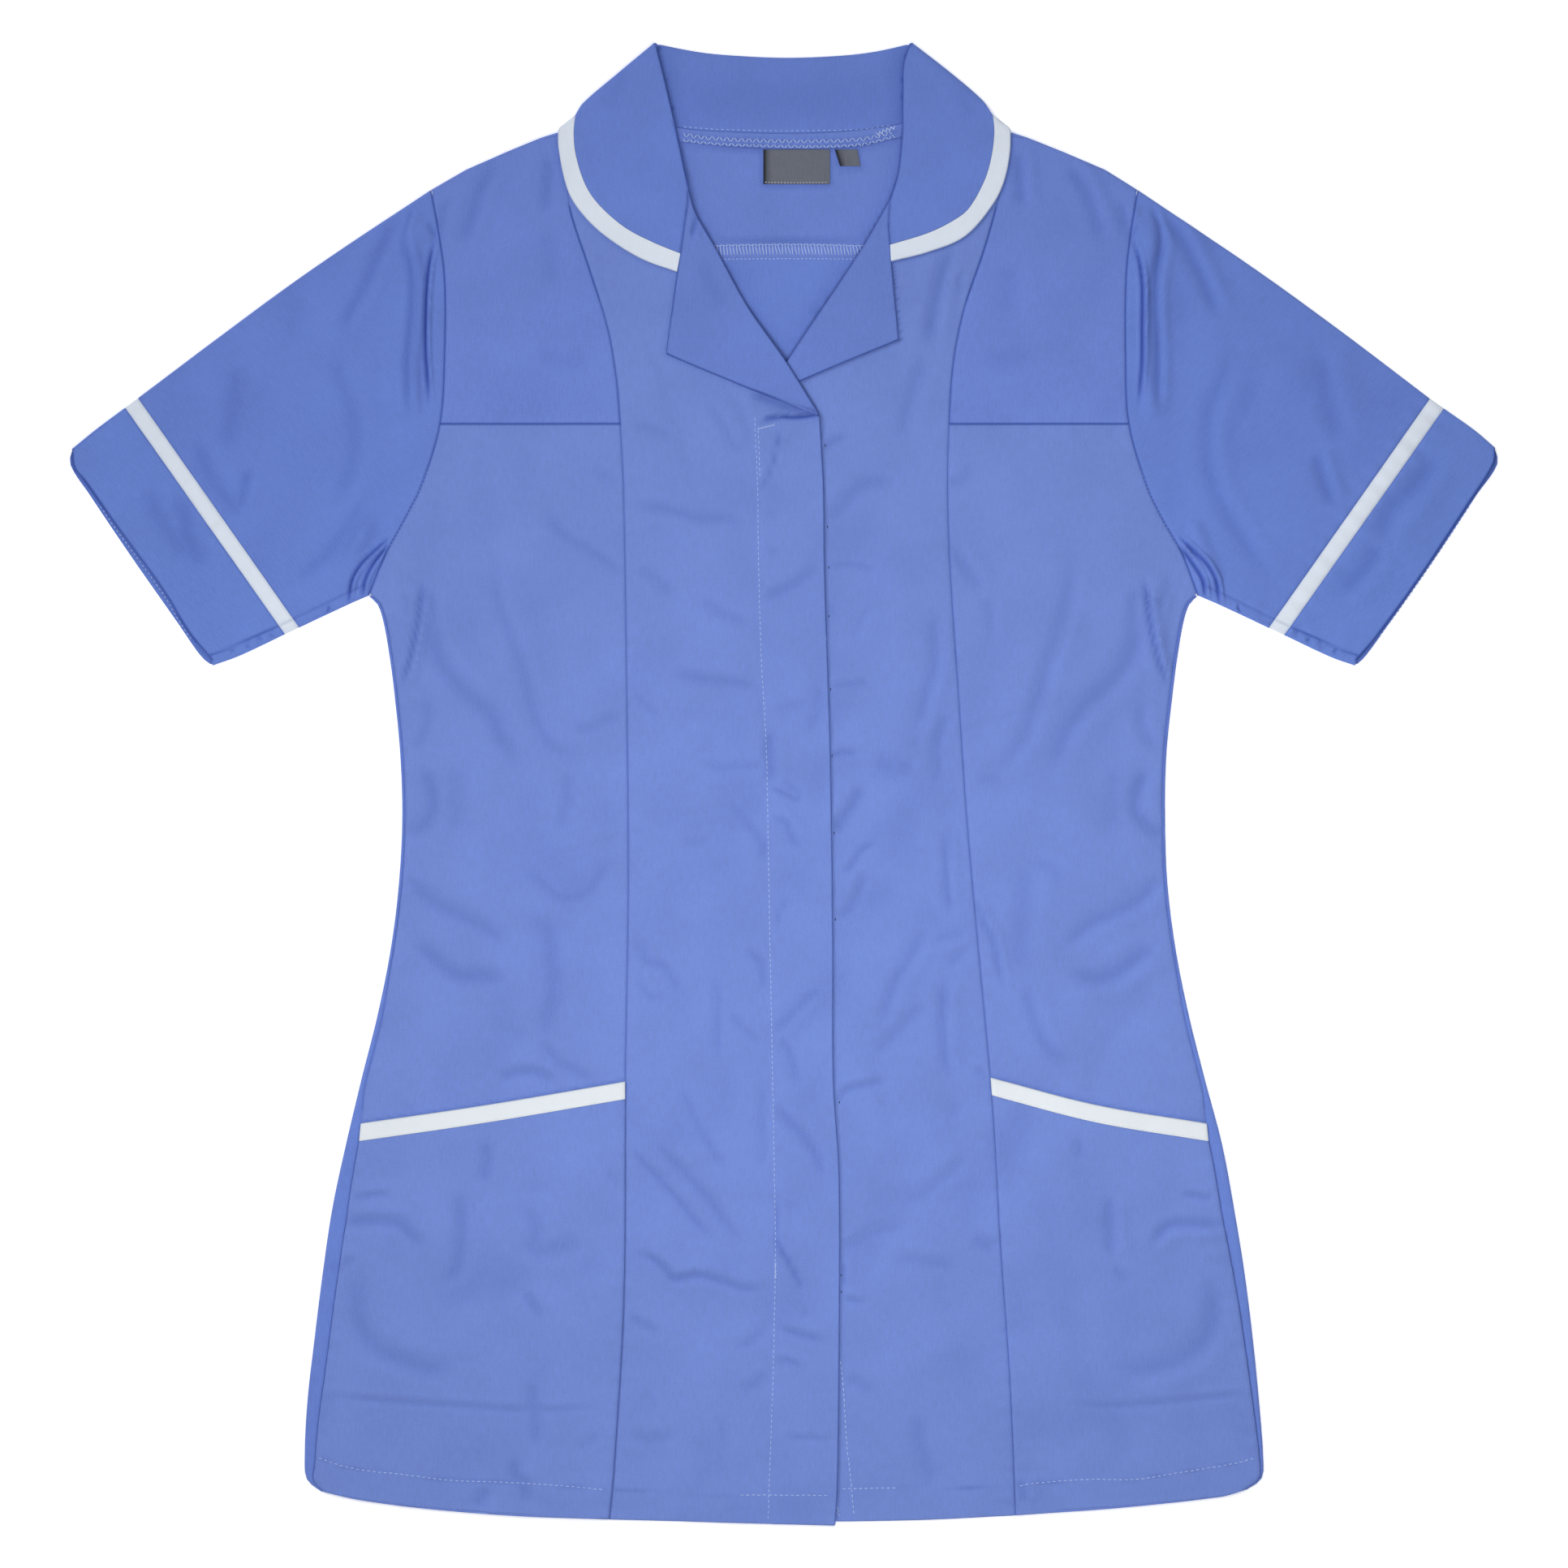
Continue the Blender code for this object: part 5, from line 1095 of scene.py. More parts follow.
def lifted(rows, height, layers=0):
    """Plane points set at a height, and so many layers above it."""
    places = rows.reshape(-1, 2)
    z = height(places) + layers * LAYER
    return np.concatenate([places, z[:, None]], axis=1).reshape(*rows.shape[:-1], 3)


def solid(points, z):
    """Plane points set at given heights."""
    z = np.broadcast_to(z, points.shape[:-1])[..., None]
    return np.concatenate([points, z], axis=-1)


# %% [markdown]
# ## Painted shade in the creases
#
# Deep in a crease or a seam, cloth lies in its own shadow and looks darker and bluer. That shade
# is painted into its colour: each sheet carries it as a number at every point, which its finish
# reads. The lines below are edges of an upper piece, for the piece itself and for the one that it
# lies on.

# %% Edges with painted shade
THIN, SOFT = 0.38, 2.2       # widths of the painted dark line on an edge and of its painted shadow
ANY = 99.0                   # a level above everything
NECK_TURNING_ENDS = (-60.0, 66.0)
MAIN_LABEL = ((-11.2, 343.6), (24.9, 343.6), (24.9, 324.9), (-11.2, 324.9))
SIZE_LABEL = ((27.5, 343.6), (39.8, 343.6), (41.4, 334.6), (30.3, 334.6))
UPPER_ROW = ((-54.8, 351.6), (-37.6, 349.4), (2.0, 348.0), (41.6, 349.0), (60.4, 353.2))
LOWER_ROW = ((-54.8, 348.6), (-37.6, 346.6), (2.0, 345.2), (41.6, 346.2), (60.4, 350.8))
HEM_SEWN = {                 # where the hem is sewn on each front
    "side_front_l": ((-252.3, -364.5), (-239.1, -368.9), (-225.5, -371.6), (-204.8, -373.8),
                     (-180.2, -376.9), (-155.5, -377.7), (-118.1, -379.9), (-96.1, -382.1)),
    "front_l": ((-91.3, -382.6), (-77.7, -383.0), (-50.8, -384.3), (-28.8, -384.8), (-9.5, -384.8),
                (26.4, -384.9)),
    "front_r": ((30.8, -381.7), (79.0, -380.8), (118.1, -381.3), (122.5, -380.8)),
    "side_front_r": ((127.0, -380.2), (134.0, -378.6), (165.2, -376.4), (189.0, -376.4),
                     (212.7, -372.9), (244.0, -367.6), (255.0, -364.6)),
}
SIDE_EDGES = (               # on each side: pieces, line, width, painted shade, highest level if any
    ("lapel_{0}", "break_middle", 0.45, 0.52),
    ("lapel_{0}", "lapel_side", THIN, 0.60),
    ("lapel_{0}", "lapel_foot", THIN, 0.75),
    ("lapel_{0} collar", "gorge", 0.8, 0.50),
    ("front_{0}", "lapel_side", SOFT, 0.12),
    ("front_{0}", "lapel_foot", SOFT, 0.16),
    ("collar", "roll_middle", 0.45, 0.75),
    ("collar", "roll_top", 9.0, 0.20, 3.0),
    ("collar", "roll_top", 3.0, 0.30, 3.0),
    ("collar_band", "edging_outside", THIN, 0.45),
    ("yoke_front_{0} front_{0}", "edging_outside", SOFT, 0.20),
    ("side_front_{0}", "pocket_top", 1.6, 0.35),
    ("pocket_band_{0}", "pocket_top", THIN, 0.45),
    ("back_yoke back_lower neck_seam", "neck_hole", 7.0, 0.10),
    ("back_yoke back_lower neck_seam", "neck_hole", 1.3, 0.28),
    ("cuff_{0}", "cuff_front", 0.7, 0.85),
    ("cuff_{0}", "cuff_front", 3.0, 0.38, 1.5),
)
opening = lines["l"]["opening"].dots
SINGLE_EDGES = (             # pieces, points of a line, width, painted shade, highest level if any
    ("front_l", opening[opening[:, 1] > 80.0], THIN, 0.75),
    ("front_l", opening[opening[:, 1] < 80.0], THIN, 0.55),
    ("front_r", opening, 0.6, 0.10),
    ("front_r lapel_r", lines["l"]["break_line"].dots, 0.8, 0.10),
    ("front_r", lines["r"]["lapel_side"].dots + np.array((1.4, -0.2)), 0.45, 0.50),
    ("front_l", ((-14.0, 210.0), (4.0, 203.5), (19.1, 200.2)), 3.2, 0.44),
    ("front_l", ((3.0, 198.5), (12.0, 198.9), (19.4, 200.0)), 0.8, 0.85),
    ("back_yoke", NECK_TURNING_FOOT, 1.5, 0.40),
    ("neck_seam", UPPER_ROW, 1.2, 0.30),
    ("neck_seam", LOWER_ROW, 1.0, 0.30),
    ("collar", ((-45.0, 371.0), (45.0, 371.0)), 14.0, 0.11, 4.0),
    ("back_yoke", ((-46.0, 293.0), (2.0, 293.6), (48.0, 293.0)), 1.2, 0.40),
    ("back_yoke", (*MAIN_LABEL[1:], MAIN_LABEL[0]), 1.5, 0.30),
    ("back_yoke", (*SIZE_LABEL[1:], SIZE_LABEL[0]), 1.5, 0.30),
    ("label_main", (MAIN_LABEL[0], MAIN_LABEL[3]), SOFT, 1.0),
    ("label_size", (SIZE_LABEL[0], SIZE_LABEL[3]), SOFT, 1.0),
    *((node.replace("side_front", "pocket"), marks, 0.6, 0.24)
      for node, marks in HEM_SEWN.items()),
)
NECK_HOLE_TOP = 352.0        # the rolls bound the neck opening below this level
edge_shades = {}             # for each piece: points of a line, width, painted shade and highest level


def painted_shade_edge(nodes, dots, width, amount, top=ANY):
    """A line along which some pieces get painted shade, up to a level."""
    for node in nodes.split():
        edge_shades.setdefault(node, []).append((np.array(dots, dtype=float), width, amount, top))


for hand in HANDS:
    shape = lines[hand]
    breaks, rolls = spread(shape["break_line"], 40), spread(shape["roll"], 30)
    dots = {name: line.dots for name, line in shape.items()}
    dots["break_middle"] = breaks - inward(breaks, NAPE) * HALF_WALL
    dots["roll_middle"] = rolls - inward(rolls, NAPE) * HALF_WALL
    dots["roll_top"] = rolls
    dots["neck_hole"] = np.vstack([rolls[rolls[:, 1] < NECK_HOLE_TOP], breaks])
    for nodes, name, *look in SIDE_EDGES:
        painted_shade_edge(nodes.format(hand), dots[name], *look)
for row in SINGLE_EDGES:
    painted_shade_edge(*row)
print(sum(len(rows) for rows in edge_shades.values()), "dark edges")

# %% How much painted shade each point has
CREASE_SHADE = 0.27 / 0.95   # painted shade for a crease of depth 1, so 0.27 for one of depth 0.95
CREASE_TIGHT = 0.9           # its width, as a share of the trough's
HOLLOW_SHADE = 0.22          # painted shade in the hollows of the drag lines, from the third layer of waves on
SEAM_SHADE, SEAM_REACH = 0.60, 2.5     # width of the painted dark line in a seam
REACHES = 2.2                # widths beyond which a shade is nothing
# pieces that lie on top, which get no painted shade from the seams below them
UPPER_CLOTH = ("collar", "collar_band", "lapel_l", "lapel_r", "neck_seam", "label_main",
               "label_size")
# pieces with painted shade in the hollows of their waves
WAVY_CLOTH = ("front", "side_front", "yoke_front", "pocket_l", "pocket_r", "sleeve_l", "sleeve_r")


def cloth_shade(points, node):
    """Painted shade at a piece's points, 0 to 1: in creases, hollows, seams and along edges."""
    places = points[:, :2]
    dark = np.zeros(len(points))

    def darken(dots, width, amount, reach, top=ANY, line=None):
        near = around(places, dots, reach)
        near = near[points[near, 2] < top]
        if len(near):
            distance, along, _ = nearest(places[near], dots)
            fade = 1.0 if line is None else crease_ends(line, along)
            dark[near] = np.maximum(dark[near], amount * fade * bell(distance, width))

    if node.startswith(WAVY_CLOTH):
        dark += HOLLOW_SHADE * np.clip(-wave_height(places, 2), 0.0, 1.0)
    for depth, width, line in crease_lines:
        darken(line.dots, CREASE_TIGHT * width, CREASE_SHADE * depth, REACHES * width, line=line)
    for line, amount in () if node in UPPER_CLOTH else ditch_lines:
        darken(line.dots, SEAM_SHADE, amount, SEAM_REACH)
    for dots, width, amount, top in edge_shades.get(node, ()):
        darken(dots, width, amount, REACHES * width, top)
    return dark


# %% [markdown]
# ## From points to cloth
#
# Each piece starts as one or more grids of points. They are joined to one sheet, Solidify gives
# the sheet its thickness, and a small Bevel rounds the cut edges. The UV map holds the flat
# place of each point, turned to the grain.

# %% Cloth maker
MERGED = 0.00001             # metres between points that become one
RIM_ANGLE = math.radians(55.0)         # edges sharper than this are rounded


def sheet_of(name, patches, closed, grain):
    """One sheet from grids of points, with its grain as a UV map in metres."""
    points, faces = [], []
    count = 0
    for patch in patches:
        rows, columns = patch.shape[:2]
        index = np.arange(rows * columns).reshape(rows, columns) + count
        if closed:
            index = np.hstack([index, index[:, :1]])
        quads = [index[:-1, :-1], index[1:, :-1], index[1:, 1:], index[:-1, 1:]]
        faces.append(np.stack(quads, -1).reshape(-1, 4))
        points.append(patch.reshape(-1, 3))
        count += rows * columns
    points, faces = np.vstack(points), np.vstack(faces)
    # painted shade at every point, which the finish reads
    dark = cloth_shade(points, name.removesuffix("_cloth"))
    points[:, :2] += TO_MIDDLE
    points *= MM
    mesh = bpy.data.meshes.new(name)
    mesh.from_pydata(points.tolist(), [], faces.tolist())
    turn = np.array(((math.cos(grain), -math.sin(grain)), (math.sin(grain), math.cos(grain))))
    flat = points[:, :2] @ turn
    mesh.uv_layers.new(name="grain").data.foreach_set("uv", flat[faces.ravel()].ravel())
    # the painted shade, kept as an attribute of each point
    mesh.attributes.new("crease_shade", "FLOAT", "POINT").data.foreach_set("value", dark)
    bm = bmesh.new()
    bm.from_mesh(mesh)
    bmesh.ops.remove_doubles(bm, verts=bm.verts, dist=MERGED)
    bmesh.ops.recalc_face_normals(bm, faces=bm.faces)
    bm.to_mesh(mesh)
    bm.free()
    return placed(name, mesh)


def applied(piece, kind, **settings):
    """A modifier set and applied to a piece."""
    bpy.ops.object.select_all(action="DESELECT")
    piece.select_set(True)
    bpy.context.view_layer.objects.active = piece
    modifier = piece.modifiers.new(kind.title(), kind)
    for name, value in settings.items():
        setattr(modifier, name, value)
    bpy.ops.object.modifier_apply(modifier=modifier.name)


def finished(piece, finish):
    """A piece with its finish, on its body."""
    piece.data.shade_smooth()
    piece.data.materials.append(FINISHES[finish])
    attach(piece, "root")


def sewn(node, patches, finish, closed=False, grain=0.0, wall=WALL):
    """A piece of cloth in place of its plain solid."""
    piece = sheet_of(node + "_cloth", patches, closed, grain)
    applied(piece, "SOLIDIFY", thickness=wall * MM, offset=0.0)
    applied(piece, "BEVEL", width=RIM * MM, segments=2, limit_method="ANGLE",
            angle_limit=RIM_ANGLE)
    finished(piece, finish)
    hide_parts(node)
    print(node, len(piece.data.polygons), "faces")


# %% [markdown]
# ## Turned edges
#
# A hem or a closing edge is never a raw cut. The cloth is turned under, so the edge is round and
# twice as thick. This helper rolls the last row of a grid under itself and lifts the cloth
# beside it.

# %% Turned edge
EDGE_TURN, EDGE_TURN_STEPS = 0.40, 6   # radius of the rounded edge, and steps round it
EDGE_LIP = 1.4
EDGE_LIFT, EDGE_REACH = 0.20, 6.0      # the double cloth lies this much higher, and how far in


def turned_edge(points, edge):
    """The grid with one edge rounded over, and the strip that is turned under."""
    grid = points if edge in ("foot", "top") else points.swapaxes(0, 1)
    grid = (grid[::-1] if edge in ("top", "left") else grid).copy()
    reach = np.linalg.norm(grid[:, :, :2] - grid[-1:, :, :2], axis=-1)
    grid[:, :, 2] += EDGE_LIFT * smooth(1.0 - reach / EDGE_REACH)
    out = grid[-1] - grid[-2]
    out[:, 2] = 0.0
    out /= np.linalg.norm(out, axis=1, keepdims=True)
    grid[-1] -= out * EDGE_TURN
    down = np.array((0.0, 0.0, -EDGE_TURN))
    strip = [grid[-1] + out * EDGE_TURN * math.sin(angle) + down * (1.0 - math.cos(angle))
             for angle in np.linspace(0.0, math.pi, EDGE_TURN_STEPS + 1)]
    strip.append(strip[-1] - out * EDGE_LIP)
    strip = np.array(strip)
    strip[..., 2] = np.maximum(strip[..., 2], 0.5 * WALL)
    grid = grid[::-1] if edge in ("top", "left") else grid
    return (grid if edge in ("foot", "top") else grid.swapaxes(0, 1)), strip


# %% [markdown]
# ## Front panels
#
# Each half of the front has a shoulder panel, a side front and a centre front. The curved seam
# between them shapes the chest and waist.


# %% Shoulder panels
def shoulder_part(hand, start, end):
    """The front's shoulder edge between two places of x, moved in from the fold."""
    run = lines[hand]["shoulder"]
    points = spread(run, 40, run.share(start, axis=0), run.share(end, axis=0))
    return straight(points + inward(points, WAIST) * (HALF_WALL + HALF_TURN + LIP + SEAM))


for hand in HANDS:
    shape = lines[hand]
    top = shoulder_part(hand, SHAPE[hand]["shoulder"][0][0], SHAPE[hand]["panel_seam"][0][0])
    sides = []
    for name, corner in (("armhole", top.dots[0]), ("panel_seam", top.dots[-1])):
        run = shape[name]
        sides.append(straight(corner, beyond(run.part(0.0, run.share(CHEST_SEAM_LEVEL)))))
    foot = straight(sides[0].dots[-1], sides[1].dots[-1])
    rows = trimmed(panel(top, foot, *sides), left=SEAM / 2, right=SEAM / 2, foot=SEAM / 2)
    sewn("yoke_front_" + hand, [lifted(rows, front_height)], "shoulder")

# %% Side fronts
ARMHOLE_FOOT = 103.4         # the armhole ends just above the side fold
BELOW_OPENING = -200.0       # the pocket hides the side front from here down
HEM_LEVEL = -388.0
COARSE = 9.0                 # spacing of the points that are hidden
for hand in HANDS:
    shape = lines[hand]
    hole, seam, side = shape["armhole"], shape["panel_seam"], shape["side_seam"]
    left = straight(hole.part(hole.share(CHEST_SEAM_LEVEL), hole.share(ARMHOLE_FOOT)), side.dots)
    right = straight(seam.part(seam.share(CHEST_SEAM_LEVEL), 1.0))
    top = straight(left.dots[0], right.dots[0])
    foot = Line([left.dots[-1], *SHAPE[hand]["hem"][1:-1], right.dots[-1]])
    corner = (left.long - side.long) / left.long
    covered = (CHEST_SEAM_LEVEL - BELOW_OPENING) / (CHEST_SEAM_LEVEL - HEM_LEVEL)
    rows = panel(top, foot, left, right, corners_down=(corner,),
                 fine_down=((covered, 0.99, COARSE),))
    rows = trimmed(rows, left=SEAM / 2, right=SEAM / 2, top=SEAM / 2)
    sewn("side_front_" + hand, turned_edge(lifted(rows, front_height), "foot"), "body")

# %% Centre fronts
NECK_GAP = 0.8
FINE_COLUMNS = {             # from and to, as shares of the width, and the spacing there
    "l": ((0.670, 0.710, 1.0),),       # the fly's line
    "r": ((0.635, 0.725, 1.0),),       # under the closing edge
}
WEDGE_ROWS = (-0.006, 0.012, 0.9)      # the same at the folds below the lapel, down the left front
front_heights = {"l": left_front_height, "r": front_height}
for hand in HANDS:
    shape = lines[hand]
    break_points = spread(shape["break_line"], 60)
    inset = HALF_WALL + LAPEL_TURN + LIP + SEAM
    fold = break_points - inward(break_points, NAPE) * inset
    neck_end = SHAPE[hand]["neck_point"][0] - TOWARDS_MIDDLE[hand][0] * NECK_GAP
    top = shoulder_part(hand, SHAPE[hand]["panel_seam"][0][0], neck_end)
    neck = beyond(shape["neckline"].dots[:-1])
    free = straight(top.dots[-1:], neck, fold, shape["opening"].dots[1:])
    neck_end = straight(top.dots[-1:], neck, fold[:1]).long
    wedge = (neck_end + straight(fold).long) / free.long
    seam = straight(top.dots[:1], beyond(shape["panel_seam"].dots))
    foot = Line([seam.dots[-1], *SHAPE[hand]["hem_middle"][1:]])
    start, end, spacing = WEDGE_ROWS
    fine_down = ((wedge + start, wedge + end, spacing),) if hand == "l" else ()
    rows = panel(top, foot, seam, free, corners_down=(neck_end / free.long, wedge),
                 fine_across=FINE_COLUMNS[hand], fine_down=fine_down)
    rows = trimmed(rows, left=SEAM / 2, right=SEAM / 2)
    grid, hem = turned_edge(lifted(rows, front_heights[hand]), "foot")
    patches = [grid, hem]
    if hand == "l":
        below = rows[:, -1, 1] < SHAPE["l"]["opening"][0][1]
        grid[below], edge = turned_edge(grid[below], "right")
        patches.append(edge)
    sewn("front_" + hand, patches, "body")

# %% [markdown]
# ## Lapels
#
# The facing of each front turns back at the break line and lies on the front. Its fold is round,
# never sharp, because the cloth has thickness.

# %% Lapels
LAPEL_POINTS = 72
LAPEL_START = 0.35           # the fold starts this share of a row further down
LAPEL_WIDTH, LAPEL_STEP = 85.0, 1.8    # for the spacing of its points
for hand in HANDS:
    shape, height = lines[hand], front_heights[hand]
    folds = spread(shape["break_line"], LAPEL_POINTS)
    out = inward(folds, NAPE)
    folds[0] = folds[0] + (folds[1] - folds[0]) * LAPEL_START
    inner = folds - out * (HALF_WALL + LAPEL_TURN)
    outer = spread(shape["lapel_side"], LAPEL_POINTS)
    foot_line = straight(outer[-1], SHAPE[hand]["lapel_foot"][1:-1], inner[-1])
    u = stations(LAPEL_WIDTH, LAPEL_STEP)
    rows = fill(straight(outer[0], inner[0]).at(u), foot_line.at(u), outer, inner, u)
    top, foot_edge = turned_edge(lifted(trimmed(rows, left=SEAM / 2), height, 1), "foot")
    top, side_edge = turned_edge(top, "left")
    low = height(inner)
    turn = []
    for angle in TURNS[::-1]:
        place = inner + out * (LAPEL_TURN * math.cos(angle))
        turn.append(solid(place, low + LAPEL_TURN * (1.0 + math.sin(angle))))
    turn[0] = top[:, -1]
    turn.append(solid(inner - out * LIP, low))
    sewn("lapel_" + hand, [top, np.array(turn), foot_edge, side_edge], "lapel")

# %% [markdown]
# ## Back
#
# The lower back lies on the table. At the sides it is turned over to the front, where its seam
# shows. The upper back is turned over the shoulders in the same way.


# %% Wrapped strips
SEAM_ROWS = (0.35, 0.7, 0.9)           # rows between a fold and its seam, as shares of the way


def wrap(edge, side, low, high, seam=None):
    """A strip from the underside of a fold, round it, to a seam or a short lip on the front."""
    bottom, top = low(edge), high(edge)
    radius = 0.5 * (top - bottom)
    rows = []
    for angle in TURNS:
        place = edge + side * (HALF_WALL + radius * (1.0 - math.cos(angle)))[:, None]
        rows.append(solid(place, bottom + radius * (1.0 + math.sin(angle))))
    end = edge + side * (HALF_WALL + radius + LIP)[:, None]
    if seam is not None:
        end = pulled(seam, edge, SEAM / 2)
        start = rows[-1][:, :2]
        for share in SEAM_ROWS:
            place = start + (end - start) * share
            rows.append(solid(place, high(place)))
    rows.append(solid(end, high(end)))
    return np.array(rows)


# %% Lower back
FOLD_STEP, BACK_STEP = 4.0, 7.0
edges, wraps, corners = {}, [], []
for hand in HANDS:
    shape = lines[hand]
    fold = shape["side"].at(stations(shape["side"].long, FOLD_STEP))
    seam = seam_from(fold, hand)
    inside = np.repeat(TOWARDS_MIDDLE[hand][None], len(fold), axis=0)
    wraps.append(wrap(fold, inside, table_height, side_height, seam))
    radius = 0.5 * (side_height(fold) - table_height(fold))
    turn_start = fold + inside * (HALF_WALL + radius)[:, None]
    hole = shape["armhole"]
    hole = hole.part(hole.share(BACK_SEAM_LEVEL), hole.share(ARMHOLE_FOOT))
    edges[hand] = straight(hole + TOWARDS_MIDDLE[hand] * (SEAM / 2), turn_start)
    corners.append(1.0 - straight(turn_start).long / edges[hand].long)
hem = Line([
    edges["l"].dots[-1], *SHAPE["l"]["hem"][1:], *SHAPE["l"]["hem_middle"][1:-1],
    *reversed(SHAPE["r"]["hem_middle"][:-1]), *reversed(SHAPE["r"]["hem"][1:-1]),
    edges["r"].dots[-1],
])
top = straight(edges["l"].dots[0], edges["r"].dots[0])
rows = panel(top, hem, edges["l"], edges["r"], BACK_STEP, corners_down=(np.mean(corners),))
sewn("back_lower", [lifted(trimmed(rows, top=SEAM / 2), table_height), *wraps], "collar")

# %% Upper back
NECK_TRIM = 0.5
tops, holes, strips = {}, {}, []
for hand in HANDS:
    run = lines[hand]["shoulder"]
    line = run.at(stations(run.long, STEP))
    line[0] = pulled(line[0], line[1], SEAM / 2)
    line[-1] = pulled(line[-1], line[-2], NECK_TRIM)
    sides = inward(line, WAIST)
    strips.append(wrap(line, sides, back_height, front_height))
    radius = 0.5 * (front_height(line) - back_height(line))
    tops[hand] = line + sides * (HALF_WALL + radius)[:, None]
    hole = lines[hand]["armhole"]
    hole = hole.part(0.0, hole.share(BACK_SEAM_LEVEL)) + TOWARDS_MIDDLE[hand] * (SEAM / 2)
    holes[hand] = straight(tops[hand][0], beyond(hole))
neck_edge = neck_back.dots[1:-1] - np.array((0.0, SEAM / 2))
top = straight(tops["l"], neck_edge, tops["r"][::-1])
foot = straight(holes["l"].dots[-1], holes["r"].dots[-1])
ends = [straight(tops[hand]).long / top.long for hand in HANDS]
rows = panel(top, foot, holes["l"], holes["r"], corners_across=(ends[0], 1.0 - ends[1]))
sewn("back_yoke", [lifted(trimmed(rows, foot=SEAM / 2), back_height), *strips], "shoulder")

# %% [markdown]
# ## Collar
#
# The collar has a stand that rises from the neck seam and a fall that turns down from the roll.
# At the back the fall lies under the stand, and at the front on it. So each half is built as
# columns: hidden back, round the shoulder, then front.

# %% Collar columns
STAND_ROWS = 14
ROLL_ANGLES = np.linspace(-0.5 * math.pi, 0.5 * math.pi, 9)
FRONT_STATIONS, BACK_STATIONS = 66, 36
FALL = stations(90.0, STEP)            # for a fall about 90 mm deep
BACK_HALF = {"l": (0.0, 0.5), "r": (1.0, 0.5)}       # from the shoulder to the middle of the back


def roll_ring(stand_top, up, out):
    """Points from the top of the stand round the roll to the start of the fall."""
    return [stand_top + out * (ROLL_TURN * (1.0 + math.sin(angle)))
            + up * (ROLL_TURN * math.cos(angle)) for angle in ROLL_ANGLES]


def turned_over(line, sides, radius, angle):
    """A line carried round the fold at the shoulder, by an angle of the turn."""
    reach = HALF_WALL + radius * (1.0 - math.cos(angle))
    return solid(line + sides * reach, FOLD_MIDDLE + radius * math.sin(angle))


def laid_columns(seam_points, rolls, ups, falls, height, layers):
    """Columns of the stand, the roll and the fall where the collar lies flat."""
    columns = []
    out = np.array((0.0, 0.0, math.copysign(1.0, layers)))
    for seam_point, roll_point, up, fall in zip(seam_points, rolls, ups, falls):
        stand_top = roll_point - up * ROLL_DEPTH
        foot = pulled(seam_point, stand_top, SEAM / 2)
        stand = lifted(across(foot, stand_top, STAND_ROWS), height)
        ring = roll_ring(stand[-1], np.array((*up, 0.0)), out)
        columns.append(np.vstack([stand[:-1], ring, lifted(fall, height, layers)[1:]]))
    return columns


def collar_half(hand):
    """Columns from the middle of the back, over the shoulder, to the front end of the collar."""
    shape, marks = lines[hand], SHAPE[hand]
    neck_point, tip = np.array(marks["neck_point"]), np.array(marks["roll"][0])
    up = (tip - neck_point) / math.dist(tip, neck_point)
    into = np.array((up[1], -up[0]))
    into = into if into @ (np.array(NAPE) - tip) > 0.0 else -into
    stand_top = tip - up * ROLL_DEPTH
    stand_fold = across(pulled(neck_point, stand_top, SEAM / 2), stand_top, STAND_ROWS)
    fall_fold = Line([stand_top - into * LAYER, *marks["shoulder_roll"][1:]]).at(FALL)
    fall_sides = inward(fall_fold, INSIDE_COLLAR)
    fall_sides[0] = into

    turned = []
    for angle in TURNS:
        stand = turned_over(stand_fold, into, HALF_TURN, angle)
        out = np.array((*(-into * math.cos(angle)), math.sin(angle)))
        ring = roll_ring(stand[-1], np.array((*up, 0.0)), out)
        fall = turned_over(fall_fold, fall_sides, FALL_TURN, angle)
        turned.append(np.vstack([stand[:-1], ring, fall[1:]]))

    fold_inside = fall_fold + fall_sides * (HALF_WALL + FALL_TURN)
    seam_start = neck_point + into * (HALF_WALL + HALF_TURN)

    def lay(seam_points, rolls, ups, edge, end_side, height, layers):
        seam_points, ups, edge = seam_points.copy(), ups.copy(), edge.copy()
        seam_points[0], ups[0], edge[0] = seam_start, up, fold_inside[-1]
        starts = rolls - ups * ROLL_DEPTH
        starts[0] = fold_inside[0]
        filled = fill(starts, edge, fold_inside, end_side, v=FALL)
        return laid_columns(seam_points, rolls, ups, filled.swapaxes(0, 1), height, layers)[1:]

    rolls = spread(shape["roll"], FRONT_STATIONS)
    ups = inward(rolls, NAPE)
    gorge = shape["gorge"].at(FALL)
    gorge[0] = rolls[-1] - ups[-1] * ROLL_DEPTH
    front = lay(spread(shape["neckline"], FRONT_STATIONS), rolls, ups,
                spread(shape["edging_inside"], FRONT_STATIONS), gorge, front_height, 1)

    half = (BACK_STATIONS, *BACK_HALF[hand])
    rolls, edge = spread(Line(BACK_ROLL), *half), spread(Line(HIDDEN_EDGING_INSIDE), *half)
    ups = np.repeat(np.array(((0.0, 1.0),)), len(rolls), axis=0)
    middle = straight(rolls[-1] - ups[-1] * ROLL_DEPTH, edge[-1]).at(FALL)
    back = lay(spread(neck_back, *half), rolls, ups, edge, middle, back_height, -1)
    return back[::-1] + turned + front


def edging_half(hand):
    """Points of the edging's outer edge, station by station like the collar's columns."""
    corner = np.array((SHAPE[hand]["edging_outside"][0],))
    pair = np.array((SHAPE[hand]["shoulder_roll"][-1], corner[0]))
    side = inward(pair, INSIDE_COLLAR)[:1]
    turned = np.vstack([turned_over(corner, side, FALL_TURN, angle) for angle in TURNS])
    front = lifted(spread(lines[hand]["edging_outside"], FRONT_STATIONS)[1:], front_height, 1)
    back = spread(Line(HIDDEN_EDGING_OUTSIDE), BACK_STATIONS, *BACK_HALF[hand])[1:]
    return np.vstack([lifted(back, table_height)[::-1], turned, front])


